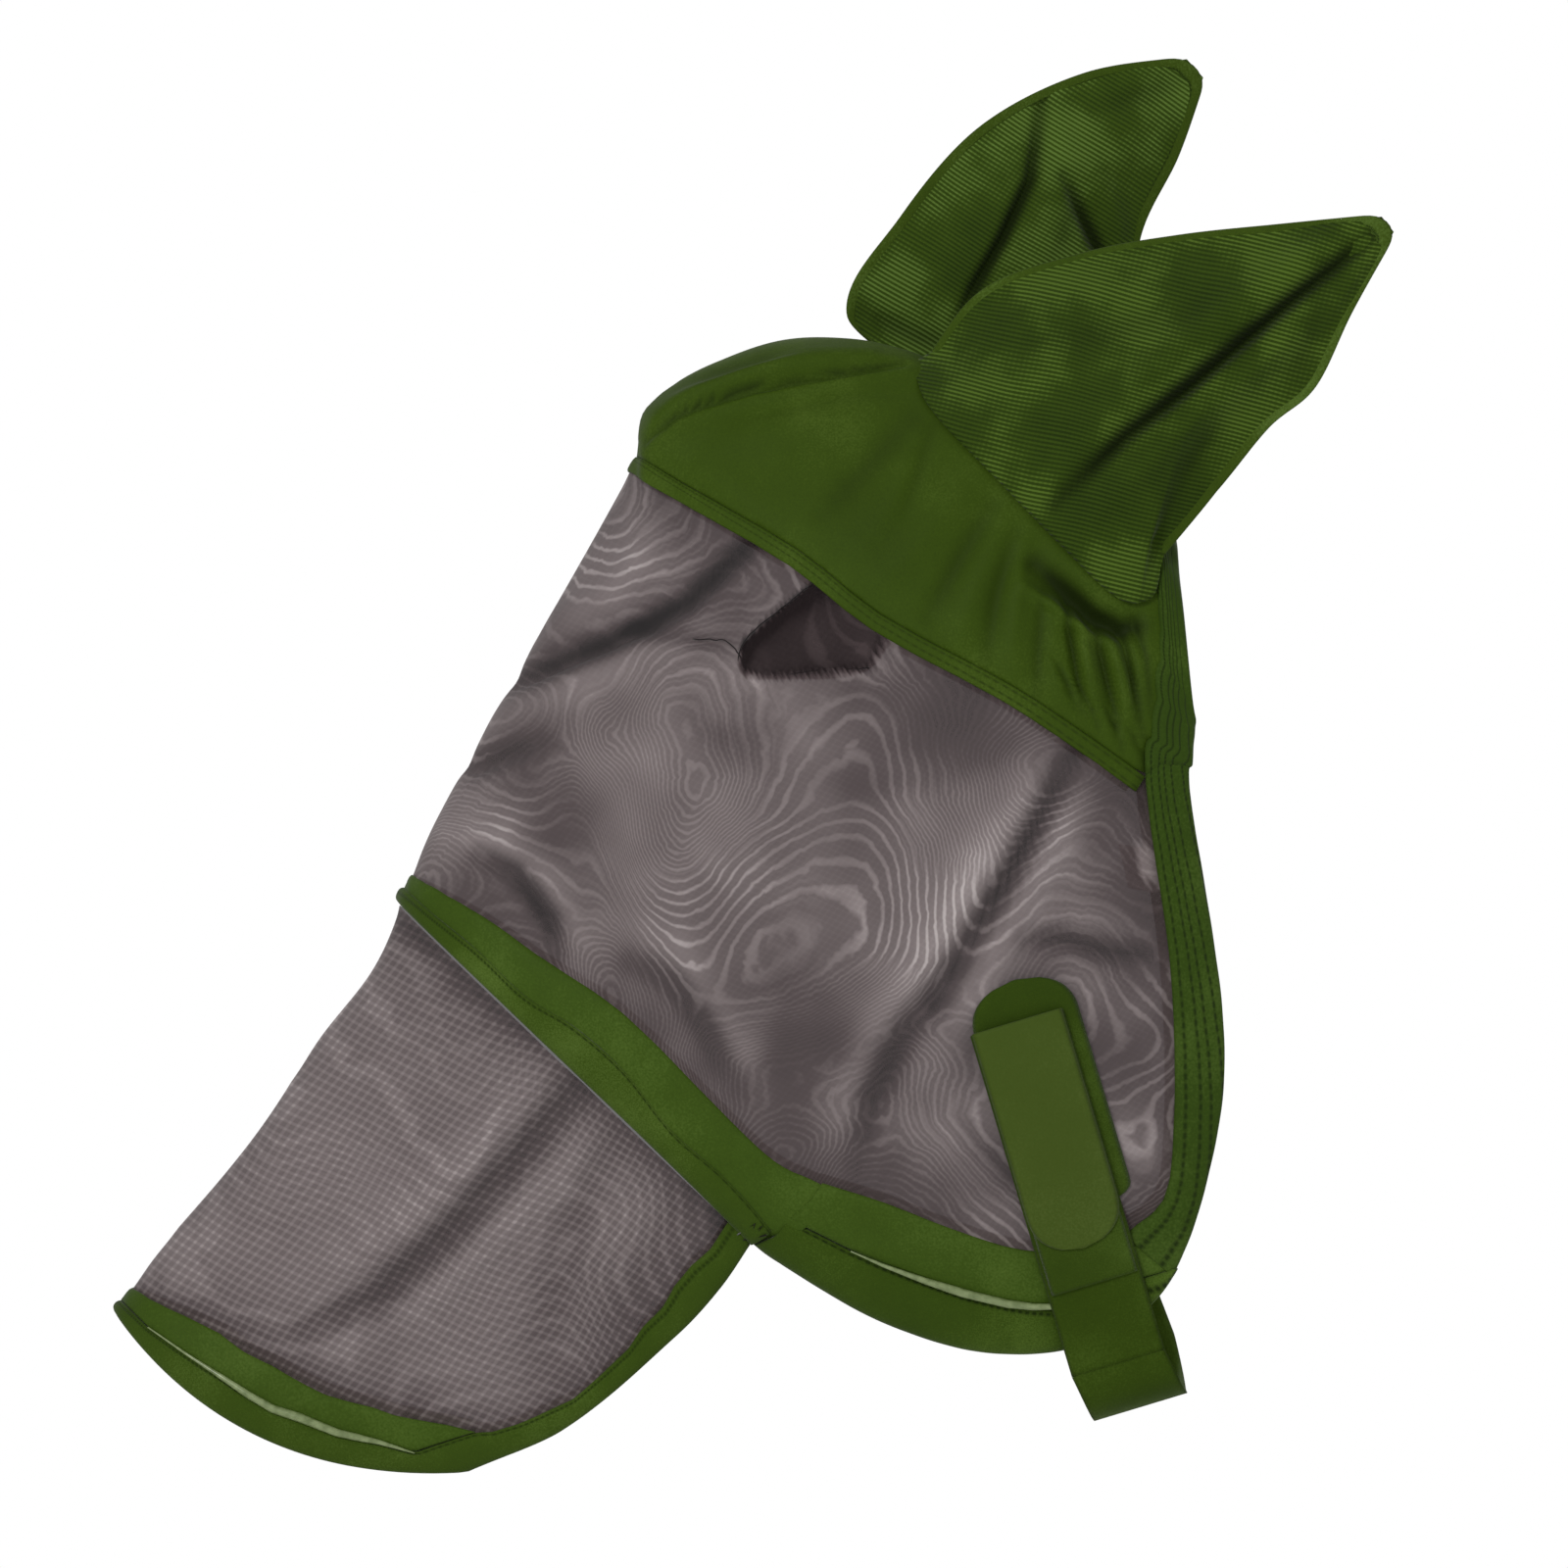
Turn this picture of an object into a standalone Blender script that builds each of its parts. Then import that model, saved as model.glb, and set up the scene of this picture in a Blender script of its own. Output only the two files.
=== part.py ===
"""Horse fly mask with ears, removable nose piece and hook-and-loop throat strap, in its worn shape.

The nose points to -X, the poll is the origin, +Z is up and the strap closes on the -Y (near) side.
Outlines are in millimetres seen from the near side as (x, z) and are wrapped onto the head surface.
"""
import bmesh
import bpy
from math import cos, hypot, pi, radians, sin
from mathutils import Vector

# ---- driving dimensions, millimetres ----
MASK_LENGTH = 671.0  # ear tip to nose hem, along X
MASK_HALF_WIDTH = 97.0  # at the eyes
CLOTH = 1.2  # mesh and knit
BINDING = 2.8  # plush edge binding
PILE = 3.0  # loop pad on the cheek
WEBBING = 1.6  # throat strap
STRAP_WIDTH = 50.0
STRAP_DROP = 26.0  # slack of the bow under the jaw
EAR_HEM = 7.0
GAP = 0.3

SIZE = MASK_LENGTH / 671.0
WIDE = MASK_HALF_WIDTH / 97.0
HALF = CLOTH / 2

for old in list(bpy.data.objects):
    bpy.data.objects.remove(old, do_unlink=True)
parts = bpy.data.collections.new("fly_mask")
cutters = bpy.data.collections.new("cutters")
bpy.context.scene.collection.children.link(parts)
bpy.context.scene.collection.children.link(cutters)


# ---- lines and curves ----
def through(knots, k):
    """Smooth value at k through rows of (k, value, ...), as a list of values."""
    last = len(knots) - 1
    i = 0
    while i < last - 1 and k > knots[i + 1][0]:
        i += 1
    k0, k1 = knots[i][0], knots[i + 1][0]
    h = k1 - k0
    u = (k - k0) / h
    before, after = max(i - 1, 0), min(i + 2, last)
    found = []
    for c in range(1, len(knots[0])):
        p0, p1 = knots[i][c], knots[i + 1][c]
        m0 = (p1 - knots[before][c]) / (k1 - knots[before][0])
        m1 = (knots[after][c] - p0) / (knots[after][0] - k0)
        found.append(
            (2 * u**3 - 3 * u**2 + 1) * p0
            + (u**3 - 2 * u**2 + u) * h * m0
            + (3 * u**2 - 2 * u**3) * p1
            + (u**3 - u**2) * h * m1
        )
    return found


def flow(points, steps=3):
    """A smooth line through the points, with some steps between each two."""
    knots = [(0.0, *points[0])]
    for p in points[1:]:
        knots.append((knots[-1][0] + hypot(p[0] - knots[-1][1], p[1] - knots[-1][2]), *p))
    line = []
    for a, b in zip(knots, knots[1:]):
        for s in range(steps):
            line.append(tuple(through(knots, a[0] + (b[0] - a[0]) * s / steps)))
    return line + [tuple(points[-1])]


def inset(outline, by):
    """The closed outline moved inwards."""
    outline = [
        p
        for i, p in enumerate(outline)
        if hypot(p[0] - outline[i - 1][0], p[1] - outline[i - 1][1]) > 0.01
    ]
    n = len(outline)
    area = sum(
        outline[i][0] * outline[(i + 1) % n][1] - outline[(i + 1) % n][0] * outline[i][1]
        for i in range(n)
    )
    turn = 1 if area > 0 else -1
    moved = []
    for i in range(n):
        a, b, c = outline[i - 1], outline[i], outline[(i + 1) % n]
        l1, l2 = hypot(b[0] - a[0], b[1] - a[1]), hypot(c[0] - b[0], c[1] - b[1])
        n1 = (-(b[1] - a[1]) / l1 * turn, (b[0] - a[0]) / l1 * turn)
        n2 = (-(c[1] - b[1]) / l2 * turn, (c[0] - b[0]) / l2 * turn)
        scale = by / max(1 + n1[0] * n2[0] + n1[1] * n2[1], 0.5)
        moved.append((b[0] + (n1[0] + n2[0]) * scale, b[1] + (n1[1] + n2[1]) * scale))
    return moved


# ---- the surface of the head, seen from the side ----
TOP_LINE = [
    (0, -371, -233), (2, -348, -180), (4, -294, -85), (6, -258, -19), (8, -247, 1), (9, -232, 21),
    (10, -201, 35), (12, -103, 49), (13, -52, 36), (14, -6, 6), (15, 33, -36),
]
LOW_LINE = [
    (0, -186, -408), (1, -164, -425), (2, -116, -452), (3, -62, -467), (4, -10, -461), (5, 31, -429),
    (6, 55, -355), (7, 58, -288), (8, 42, -183), (10, 42, -160), (15, 43, -139),
]
HALF_WIDTH = [(0, 61), (2, 72), (4, 90), (6, 97), (8, 96), (10, 92), (12, 84), (14, 77), (15, 75)]
EDGE_WIDTH = [(0, 52), (2, 54), (4, 56), (5, 60), (6, 68), (7, 75), (8, 78), (10, 78), (15, 74)]
WIDEST = [(0, 0.5), (4, 0.5), (6, 0.55), (8, 0.65), (10, 0.72), (15, 0.85)]
ROUND = 2.4

# the nose piece, from its top edge to its hem
NOSE_TOP = [(0, -371, -233), (1, -388, -270), (2, -415, -306), (5, -521, -447)]
NOSE_LOW = [(0, -186, -408), (1, -203, -433), (2, -226, -458), (4, -285, -507), (5, -335, -529)]
NOSE_HALF_WIDTH = [(0, 61), (2, 58), (5, 52)]
NOSE_EDGE_WIDTH = [(0, 52), (2, 50), (5, 44)]
NOSE_BOW = [(0, 0), (2, 2), (4, 16), (5, 27)]


def across(widest, full, edge, t):
    """Distance from the midline at depth t of a section."""
    if t < widest:
        return full * (1 - (1 - t / widest) ** ROUND) ** (1 / ROUND)
    return full - (full - edge) * ((t - widest) / (1 - widest)) ** 2


def head(row, a):
    """Point of the head surface; a runs from -1 (near lower edge) over the midline to 1."""
    t = abs(a) ** 2.2
    x0, z0 = through(TOP_LINE, row)
    x1, z1 = through(LOW_LINE, row)
    y = across(
        through(WIDEST, row)[0], through(HALF_WIDTH, row)[0], through(EDGE_WIDTH, row)[0], t
    )
    y = y * WIDE * (1 if a > 0 else -1)
    return Vector(((x0 + (x1 - x0) * t) * SIZE, y, (z0 + (z1 - z0) * t) * SIZE))


def nose(row, a):
    """Point of the nose piece's surface."""
    t = abs(a) ** 2.2
    x0, z0 = through(NOSE_TOP, row)
    x1, z1 = through(NOSE_LOW, row)
    y = across(0.5, through(NOSE_HALF_WIDTH, row)[0], through(NOSE_EDGE_WIDTH, row)[0], t)
    y = y * WIDE * (1 if a > 0 else -1)
    long = hypot(x1 - x0, z1 - z0)
    bow = through(NOSE_BOW, row)[0] * 4 * t * (1 - t) / long
    x = x0 + (x1 - x0) * t + (z1 - z0) * bow
    z = z0 + (z1 - z0) * t - (x1 - x0) * bow
    return Vector((x * SIZE, y, z * SIZE))


def facing(surface, row, a):
    """Outward normal of a surface."""
    step = 0.004
    r0, r1 = max(row - step * 5, 0), row + step * 5
    if surface is head:
        r1 = min(r1, 15)
    else:
        r1 = min(r1, 5)
    a0, a1 = max(a - step, -1), min(a + step, 1)
    return (surface(r1, a) - surface(r0, a)).cross(surface(row, a1) - surface(row, a0)).normalized()


NOSE_TURN = -1  # rows of the nose piece run the other way


def out(surface, row, a, off):
    """Point at a height above a surface."""
    n = facing(surface, row, a)
    return surface(row, a) + n * (off if surface is head else off * NOSE_TURN)


def place(x, z, side, off):
    """Point above the head surface over the side-view position (x, z)."""
    x, z = x * SIZE, z * SIZE
    low, high = 0.0, 15.0
    for _ in range(26):
        row = (low + high) / 2
        x0, z0 = through(TOP_LINE, row)
        x1, z1 = through(LOW_LINE, row)
        x0, z0, x1, z1 = x0 * SIZE, z0 * SIZE, x1 * SIZE, z1 * SIZE
        if (x1 - x0) * (z - z0) - (z1 - z0) * (x - x0) > 0:
            low = row
        else:
            high = row
    t = ((x - x0) * (x1 - x0) + (z - z0) * (z1 - z0)) / ((x1 - x0) ** 2 + (z1 - z0) ** 2)
    t = min(max(t, 0.0), 1.0)
    return out(head, row, side * t ** (1 / 2.2), off)


# ---- making solids ----
def paint(name, colour, rough=0.8):
    material = bpy.data.materials.new(name)
    material.use_nodes = True
    bsdf = material.node_tree.nodes["Principled BSDF"]
    bsdf.inputs["Base Color"].default_value = (*colour, 1)
    bsdf.inputs["Roughness"].default_value = rough
    return material


GREEN = (0.045, 0.075, 0.008)
DARK = (0.03, 0.052, 0.006)
GREY = (0.18, 0.15, 0.15)
LIGHT = (0.1, 0.13, 0.03)
WHITE = (0.6, 0.58, 0.55)


def solid(name, points, faces, colour, origin=(0, 0, 0), group=parts):
    """A closed mesh from millimetre points, with its origin where it turns."""
    o = Vector(origin)
    mesh = bpy.data.meshes.new(name)
    mesh.from_pydata([(Vector(p) - o) * 0.001 for p in points], [], faces)
    work = bmesh.new()
    work.from_mesh(mesh)
    bmesh.ops.recalc_face_normals(work, faces=work.faces)
    work.to_mesh(mesh)
    work.free()
    thing = bpy.data.objects.new(name, mesh)
    thing.location = o * 0.001
    group.objects.link(thing)
    if group is parts:
        mesh.materials.append(paint(name, colour))
    else:
        thing.hide_render = True
        thing.display_type = "WIRE"
    return thing


def loft(name, rings, colour, origin=(0, 0, 0), closed=False):
    """Skin a row of rings that each have the same number of points, and cap the two ends."""
    n = len(rings[0])
    points = [p for ring in rings for p in ring]
    faces = []
    count = len(rings)
    for i in range(count if closed else count - 1):
        i2 = (i + 1) % count
        for j in range(n):
            j2 = (j + 1) % n
            faces.append((i * n + j, i * n + j2, i2 * n + j2, i2 * n + j))
    if not closed:
        # a thin ring is capped as a strip of quads between its two sides
        m = n // 2
        for base in (0, (count - 1) * n):
            for j in range(m - 1):
                faces.append((base + j, base + j + 1, base + n - 2 - j, base + n - 1 - j))
    return solid(name, points, faces, colour, origin)


def shell(name, surface, rows, columns, low, high, colour, origin=(0, 0, 0)):
    """A sheet of a surface between two heights above it."""
    rings = []
    for row in rows:
        top = [out(surface, row, a, high) for a in columns]
        under = [out(surface, row, a, low) for a in reversed(columns)]
        rings.append(top + under)
    return loft(name, rings, colour, origin)


def prism(name, outline, y0, y1):
    """A cutter: an outline seen from the side, drawn out between two distances across."""
    n = len(outline)
    points = [(x * SIZE, y0, z * SIZE) for x, z in outline]
    points += [(x * SIZE, y1, z * SIZE) for x, z in outline]
    faces = [tuple(range(n)), tuple(range(2 * n - 1, n - 1, -1))]
    faces += [(i, (i + 1) % n, (i + 1) % n + n, i + n) for i in range(n)]
    return solid("cut_" + name, points, faces, None, group=cutters)


def cut(thing, tool, how):
    modifier = thing.modifiers.new(how.lower(), "BOOLEAN")
    modifier.operation = how
    modifier.solver = "EXACT"
    modifier.object = tool


HEAD_ROWS = [i / 2 for i in range(31)]
HEAD_COLUMNS = [i / 14 for i in range(-14, 15)]
NOSE_ROWS = [0.02 + CLOTH * 0.022 * max(WIDE, 1) ** 2] + [i * 5 / 12 for i in range(1, 13)]  # a gap to the head
NOSE_COLUMNS = [i / 12 for i in range(-12, 13)]
NEAR, FAR = -1, 1
BOTH = 0


def panel(name, surface, low, high, outline, side, colour, origin=(0, 0, 0), holes=()):
    """A cut piece of cloth: the sheet inside an outline, on one side or over both."""
    rows, columns = (HEAD_ROWS, HEAD_COLUMNS) if surface is head else (NOSE_ROWS, NOSE_COLUMNS)
    thing = shell(name, surface, rows, columns, low, high, colour, origin)
    y0, y1 = {NEAR: (-200, -2), FAR: (2, 200), BOTH: (-200, 200)}[side]
    cut(thing, prism(name, inset(outline, GAP / 2), y0, y1), "INTERSECT")
    for k, (hole, h0, h1) in enumerate(holes):
        cut(thing, prism(f"{name}_hole_{k}", hole, h0, h1), "DIFFERENCE")
    return thing


def cord(name, points, radius, colour, origin=(0, 0, 0)):
    """A round cord through points."""
    o = Vector(origin)
    data = bpy.data.curves.new(name, "CURVE")
    data.dimensions = "3D"
    data.bevel_depth = radius * 0.001
    data.bevel_resolution = 1
    data.use_fill_caps = True
    line = data.splines.new("POLY")
    line.points.add(len(points) - 1)
    for p, point in zip(points, line.points):
        point.co = (*((Vector(p) - o) * 0.001), 1)
    thing = bpy.data.objects.new(name, data)
    thing.location = o * 0.001
    parts.objects.link(thing)
    data.materials.append(paint(name, colour, 0.3))
    return thing


# ---- seams and edges, seen from the side ----
NOSE_EDGE = flow([
    (-372, -214), (-357, -222), (-323, -241), (-299, -258), (-254, -288), (-199, -343), (-173, -367),
    (-150, -377),
])
JAW_EDGE = flow([(-150, -377), (-118, -387), (-82, -401), (-45, -412), (-10, -411), (6, -404)])
REAR_EDGE = flow([(6, -404), (27, -386), (32, -350), (32, -300), (29, -255), (20, -194), (17, -166)])
BROW = flow([(17, -166), (-11, -146), (-52, -119), (-120, -82), (-162, -49), (-223, -13), (-247, 2)])
PIPE_LINE = flow([(-168, -396), (-118, -420), (-54, -440), (-14, -440), (10, -428)])
CROWN_LINE = flow([(28, -10), (22, -30), (23, -58), (25, -105), (17, -166)])
SEAM = [(-100, 45), (-93, 22), (-60, -15), (-17, -60), (-3, -73), (7, -77), (17, -72), (21, -58)]
WAVE = flow([(-371, -222), (-341, -246), (-304, -281), (-267, -303), (-226, -351), (-191, -385), (-176, -402)])


def face_mesh():
    outline = (
        [(-390, -205)] + NOSE_EDGE + JAW_EDGE[1:] + REAR_EDGE[1:] + BROW[1:] + [(-275, 20)]
    )
    panel("face_mesh", head, -HALF, HALF, outline, BOTH, GREY)


def eye_darts():
    outline = [(-150, -62), (-190, -94), (-194, -104), (-190, -113), (-180, -116), (-134, -109), (-120, -90)]
    for side, word in ((NEAR, "near"), (FAR, "far")):
        panel("eye_dart_" + word, head, -HALF - GAP - CLOTH, -HALF - GAP, outline, side, GREY)


def poll_panel():
    """Knit over forehead and poll, with a hole for each ear."""
    outline = BROW + [(-290, 20), (-280, 90), (28, 90)] + CROWN_LINE
    seam = flow(SEAM)
    hole = [(-100, 120)] + seam + [(19, -30), (12, -5), (12, 120)]
    panel(
        "poll_panel", head, -HALF, HALF, outline[:-1], BOTH, GREEN,
        holes=((hole, -200, -22), (hole, 22, 200)),
    )


def brow_hem():
    """The folded edge of the knit, stitched over the mesh."""
    low = [(x - 5, z - 8) for x, z in BROW]
    outline = BROW + [(-262, 12)] + [(-272, 0)] + low[::-1]
    panel("brow_hem", head, HALF + GAP, HALF + GAP + 1.0, outline, BOTH, GREEN)


def crown_band():
    outline = CROWN_LINE + [(17, -166), (70, -164), (90, 20), (40, 30)]
    panel("crown_band", head, -HALF, HALF + 0.6, outline, BOTH, DARK)


def rear_bands():
    outline = REAR_EDGE + [(70, -166), (90, -300), (80, -460), (22, -448)]
    for side, word in ((NEAR, "near"), (FAR, "far")):
        panel("rear_band_" + word, head, -HALF, HALF + 0.4, outline, side, DARK)


def jaw_bands():
    outline = [(-150, -377)] + JAW_EDGE[1:] + PIPE_LINE[::-1]
    binding = PIPE_LINE + [(22, -448), (25, -500), (-190, -500), (-190, -414)]
    for side, word in ((NEAR, "near"), (FAR, "far")):
        panel("jaw_band_" + word, head, -HALF, HALF + 0.4, outline, side, GREEN)
        panel("jaw_binding_" + word, head, -HALF, BINDING - HALF, binding, side, DARK)
        line = [place(x, z + 1.7, side, HALF + 0.4 + GAP + 0.9) for x, z in PIPE_LINE[2:-2]]
        cord("jaw_piping_" + word, line, 0.8, LIGHT)


def nose_band():
    outline = NOSE_EDGE + [(-168, -396), (-190, -414)] + [(-420, -240)] + [(-400, -205)]
    panel("nose_band", head, -HALF, HALF, outline, BOTH, GREEN)


def care_label():
    outline = [(2, -200), (14, -204), (20, -226), (7, -224)]
    panel("care_label", head, -HALF - GAP - 0.6, -HALF - GAP, outline, NEAR, WHITE)


# ---- nose piece ----
OFF_NOSE = (-371, 0, -233)
MESH_LOW = flow([
    (-530, -430), (-513, -436), (-480, -448), (-436, -474), (-409, -487), (-372, -499), (-331, -507),
    (-308, -504), (-281, -490), (-252, -463), (-226, -432), (-200, -401),
])
NOSE_PIPE = flow([(-520, -441), (-462, -480), (-422, -501), (-362, -518)])


def nose_piece():
    mesh = MESH_LOW[:-2] + [(-207, -412), (-192, -428), (-170, -400), (-360, -200), (-420, -200)]
    panel("nose_mesh", nose, -HALF, HALF, mesh, BOTH, GREY, OFF_NOSE)
    facing_outline = MESH_LOW[: 3 * 6 + 1] + NOSE_PIPE[::-1]
    panel("nose_hem_facing", nose, -HALF, HALF + 0.3, facing_outline, BOTH, GREEN, OFF_NOSE)
    hem = NOSE_PIPE + MESH_LOW[3 * 6 : -2]
    hem += [(-207, -412), (-192, -428), (-180, -440), (-300, -620), (-560, -560), (-560, -450)]
    panel("nose_hem_binding", nose, -HALF, BINDING - HALF, hem, BOTH, DARK, OFF_NOSE)
    band = WAVE + [(-186, -410), (-200, -425)] + [(-390, -240)]
    low = HALF + GAP + 0.3
    panel("nose_top_band", head, low, low + 2.0, band, BOTH, DARK, OFF_NOSE)


# ---- ears ----
# edges as (height share, x, z, distance across); both start on the seam at the poll
NEAR_EAR = {
    "front": [
        (0, -100, 45, 26), (0.2, -67, 88, 35), (0.4, -15, 107, 48), (0.6, 36, 116, 62),
        (0.8, 88, 121, 76), (1, 143, 126, 86),
    ],
    "rear": [
        (0, 20, -56, 52), (0.2, 55, -18, 66), (0.4, 82, 15, 74), (0.6, 106, 36, 80),
        (0.8, 125, 75, 86), (1, 149, 118, 88),
    ],
    "side": NEAR,
}
FAR_EAR = {
    "front": [
        (0, -100, 45, 26), (0.14, -137, 78, 36), (0.4, -108, 131, 46), (0.6, -67, 178, 56),
        (0.8, -12, 207, 64), (1, 47, 217, 68),
    ],
    "rear": [
        (0, 20, -56, 52), (0.2, 24, -8, 64), (0.4, 18, 60, 70), (0.6, 19, 118, 72),
        (0.8, 40, 164, 72), (1, 55, 207, 70),
    ],
    "side": FAR,
}
SEAM_LONG = flow(SEAM[:-1] + [(20, -60)], 4)
BESIDE_POLL = [(0, 12, 26), (0.3, 12.8, 25), (0.6, 13.7, 25), (0.8, 14.3, 32), (1, 14.7, 50)]


def ear_base(ear, half, b):
    """Where the ear is sewn to the knit: the outer seam, or the line beside the poll."""
    side = ear["side"]
    height = HALF + 0.6 + GAP + 0.9 * max(WIDE, 1) ** 4 * sin(pi * b) ** 0.7
    if half == "outer":
        k = b * (len(SEAM_LONG) - 1)
        i = min(int(k), len(SEAM_LONG) - 2)
        f = k - i
        x = SEAM_LONG[i][0] * (1 - f) + SEAM_LONG[i + 1][0] * f
        z = SEAM_LONG[i][1] * (1 - f) + SEAM_LONG[i + 1][1] * f
        pull = 2.6 * sin(pi * b) ** 0.5
        return place(x + pull * 0.7, z + pull * 0.7, side, height)
    row, y = through(BESIDE_POLL, b)
    y = (y + 1.5 * sin(pi * b)) * WIDE
    low, high = 0.0, 1.0
    for _ in range(24):
        a = (low + high) / 2
        if abs(head(row, a).y) < y:
            low = a
        else:
            high = a
    return out(head, row, side * a, height)


def ear_edge(ear, which, v):
    x, z, y = through(ear[which], v)
    p = Vector((x * SIZE, y * WIDE * ear["side"], z * SIZE))
    start = ear_base(ear, "outer", 0 if which == "front" else 1)
    x, z, y = through(ear[which], 0)
    first = Vector((x * SIZE, y * WIDE * ear["side"], z * SIZE))
    return p + (start - first) * max(1 - v / 0.2, 0)


def ear_frame(ear, v):
    """Front edge, rear edge and outward normal of an ear at a height."""
    f, r = ear_edge(ear, "front", v), ear_edge(ear, "rear", v)
    ahead = ear_edge(ear, "front", min(v + 0.02, 1)) + ear_edge(ear, "rear", min(v + 0.02, 1))
    back = ear_edge(ear, "front", max(v - 0.02, 0)) + ear_edge(ear, "rear", max(v - 0.02, 0))
    n = (r - f).cross(ahead - back).normalized()
    if n.y * ear["side"] < 0:
        n = -n
    return f, r, n


def ear_point(ear, half, v, b, off):
    """Point on one half of an ear; b runs from its front edge to its rear edge."""
    f, r, n = ear_frame(ear, v)
    if half == "inner":
        n = -n
    trim = (EAR_HEM + GAP) / (r - f).length
    c = trim + (1 - 2 * trim) * b
    bulge = {"outer": 24, "inner": 16}[half] * sin(pi * min(v / 0.9, 1)) ** 0.7 * (1 - 0.5 * v)
    flat = f + (r - f) * c + n * (bulge * sin(pi * b) ** 1.3 + 0.15 + off)
    near = max(1 - v / 0.55, 0) ** 2
    if near > 0:
        f0, r0 = ear_edge(ear, "front", 0), ear_edge(ear, "rear", 0)
        trim = (EAR_HEM + GAP) / (r0 - f0).length
        c0 = trim + (1 - 2 * trim) * b
        shift = ear_base(ear, half, b) - (f0 + (r0 - f0) * c0)
        ends = min(b, 1 - b) * 4
        share = near if ends >= 1 else near * (ends + (1 - ends) * max(1 - v / 0.06, 0))
        flat = flat + shift * share
    return flat


def ear_hinge(ear):
    """Two points of the line the ear bends along, on the front of its seam."""
    first = place(-93, 22, ear["side"], HALF + 2)
    second = place(-60, -15, ear["side"], HALF + 2)
    return tuple(first), tuple(second)


EAR_STEPS = [0.0, 0.03, 0.07, 0.12, 0.18, 0.25, 0.33, 0.42, 0.52, 0.62, 0.72, 0.82, 0.9, 0.95]


def ear_half(name, ear, half, colour):
    rings = []
    spots = [i / 12 for i in range(13)]
    for v in EAR_STEPS:
        top = [ear_point(ear, half, v, b, CLOTH) for b in spots]
        under = [ear_point(ear, half, v, b, 0) for b in reversed(spots)]
        rings.append(top + under)
    return loft(name, rings, colour, ear_hinge(ear)[0])


def ear_hem(name, ear, colour):
    """The stitched edge strip, up the front edge, round the tip and down the rear edge."""
    rings = []
    steps = EAR_STEPS[2:] + [0.99]
    for which, order in (("front", steps), ("rear", steps[::-1])):
        for v in order:
            f, r, n = ear_frame(ear, v)
            long = (r - f).length
            share = min(EAR_HEM / long, 0.49)
            inner = f + (r - f) * (share if which == "front" else 1 - share)
            if v > 0.95:
                f2, r2, _ = ear_frame(ear, 0.95)
                inner = (f2 + r2) / 2 + (f + r - f2 - r2) / 2 * 0.25
                inner = inner + (f - r).normalized() * (0.3 if which == "front" else -0.3)
            edge = f if which == "front" else r
            n = n * (CLOTH + 0.15)
            rings.append([edge + n, inner + n, inner - n, edge - n])
    return loft(name, rings, colour, ear_hinge(ear)[0])


def ears():
    for word, ear in (("near", NEAR_EAR), ("far", FAR_EAR)):
        ear_half(f"{word}_ear_outer_panel", ear, "outer", GREEN)
        ear_half(f"{word}_ear_inner_panel", ear, "inner", DARK)
        ear_hem(f"{word}_ear_hem", ear, GREEN)


# ---- throat strap ----
STRAP_TOP = (-50, -292)  # centre of the folded end
DOWN = (0.288, -0.958)  # along the strap, seen from the side
OVER = (0.958, 0.288)  # across it
LEAVES = 150.0  # where the strap leaves the cheek
BEND = 186.0  # where the near leg turns on the bow


def strap_xz(u, v):
    u = u / SIZE  # the strap keeps its own width on a longer mask
    return (
        STRAP_TOP[0] + u * OVER[0] + v * DOWN[0],
        STRAP_TOP[1] + u * OVER[1] + v * DOWN[1],
    )


def strap_point(u, v, side, off):
    """Point on a strap layer: over the cheek it follows the head, below it hangs free."""
    if v <= LEAVES:
        return place(*strap_xz(u, v), side, off)
    start = place(*strap_xz(u, LEAVES), side, off)
    level = place(*strap_xz(0, LEAVES), side, off)
    share = min((v - LEAVES) / 25, 1)
    share = share * share * (3 - 2 * share)
    x, z = strap_xz(u, v)
    lean = 58 * WIDE + off
    y = abs(start.y) + (abs(level.y) - abs(start.y)) * share
    y = y + (lean - abs(level.y)) * share
    x0, z0 = strap_xz(u, LEAVES)
    return Vector((start.x + (x - x0) * SIZE, side * y, start.z + (z - z0) * SIZE))


def strap_layer(name, side, v0, v1, low, high, half_width, colour, origin=(0, 0, 0), rounded=0, shift=0):
    """A length of strap on one cheek, its end rounded if asked."""
    rings = []
    count = max(int((v1 - v0) / 12), 3)
    for i in range(count + 1):
        v = v0 + (v1 - v0) * i / count
        w = half_width
        if rounded and v1 - v < rounded:
            k = 1 - (v1 - v) / rounded
            w = half_width * max(1 - k**3 * 0.62, 0.3)
        spots = [shift + w * k / 2 for k in (-2, -1, 0, 1, 2)]
        rings.append(
            [strap_point(u, v, side, high) for u in spots]
            + [strap_point(u, v, side, low) for u in spots[::-1]]
        )
    return loft(name, rings, colour, origin)


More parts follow.
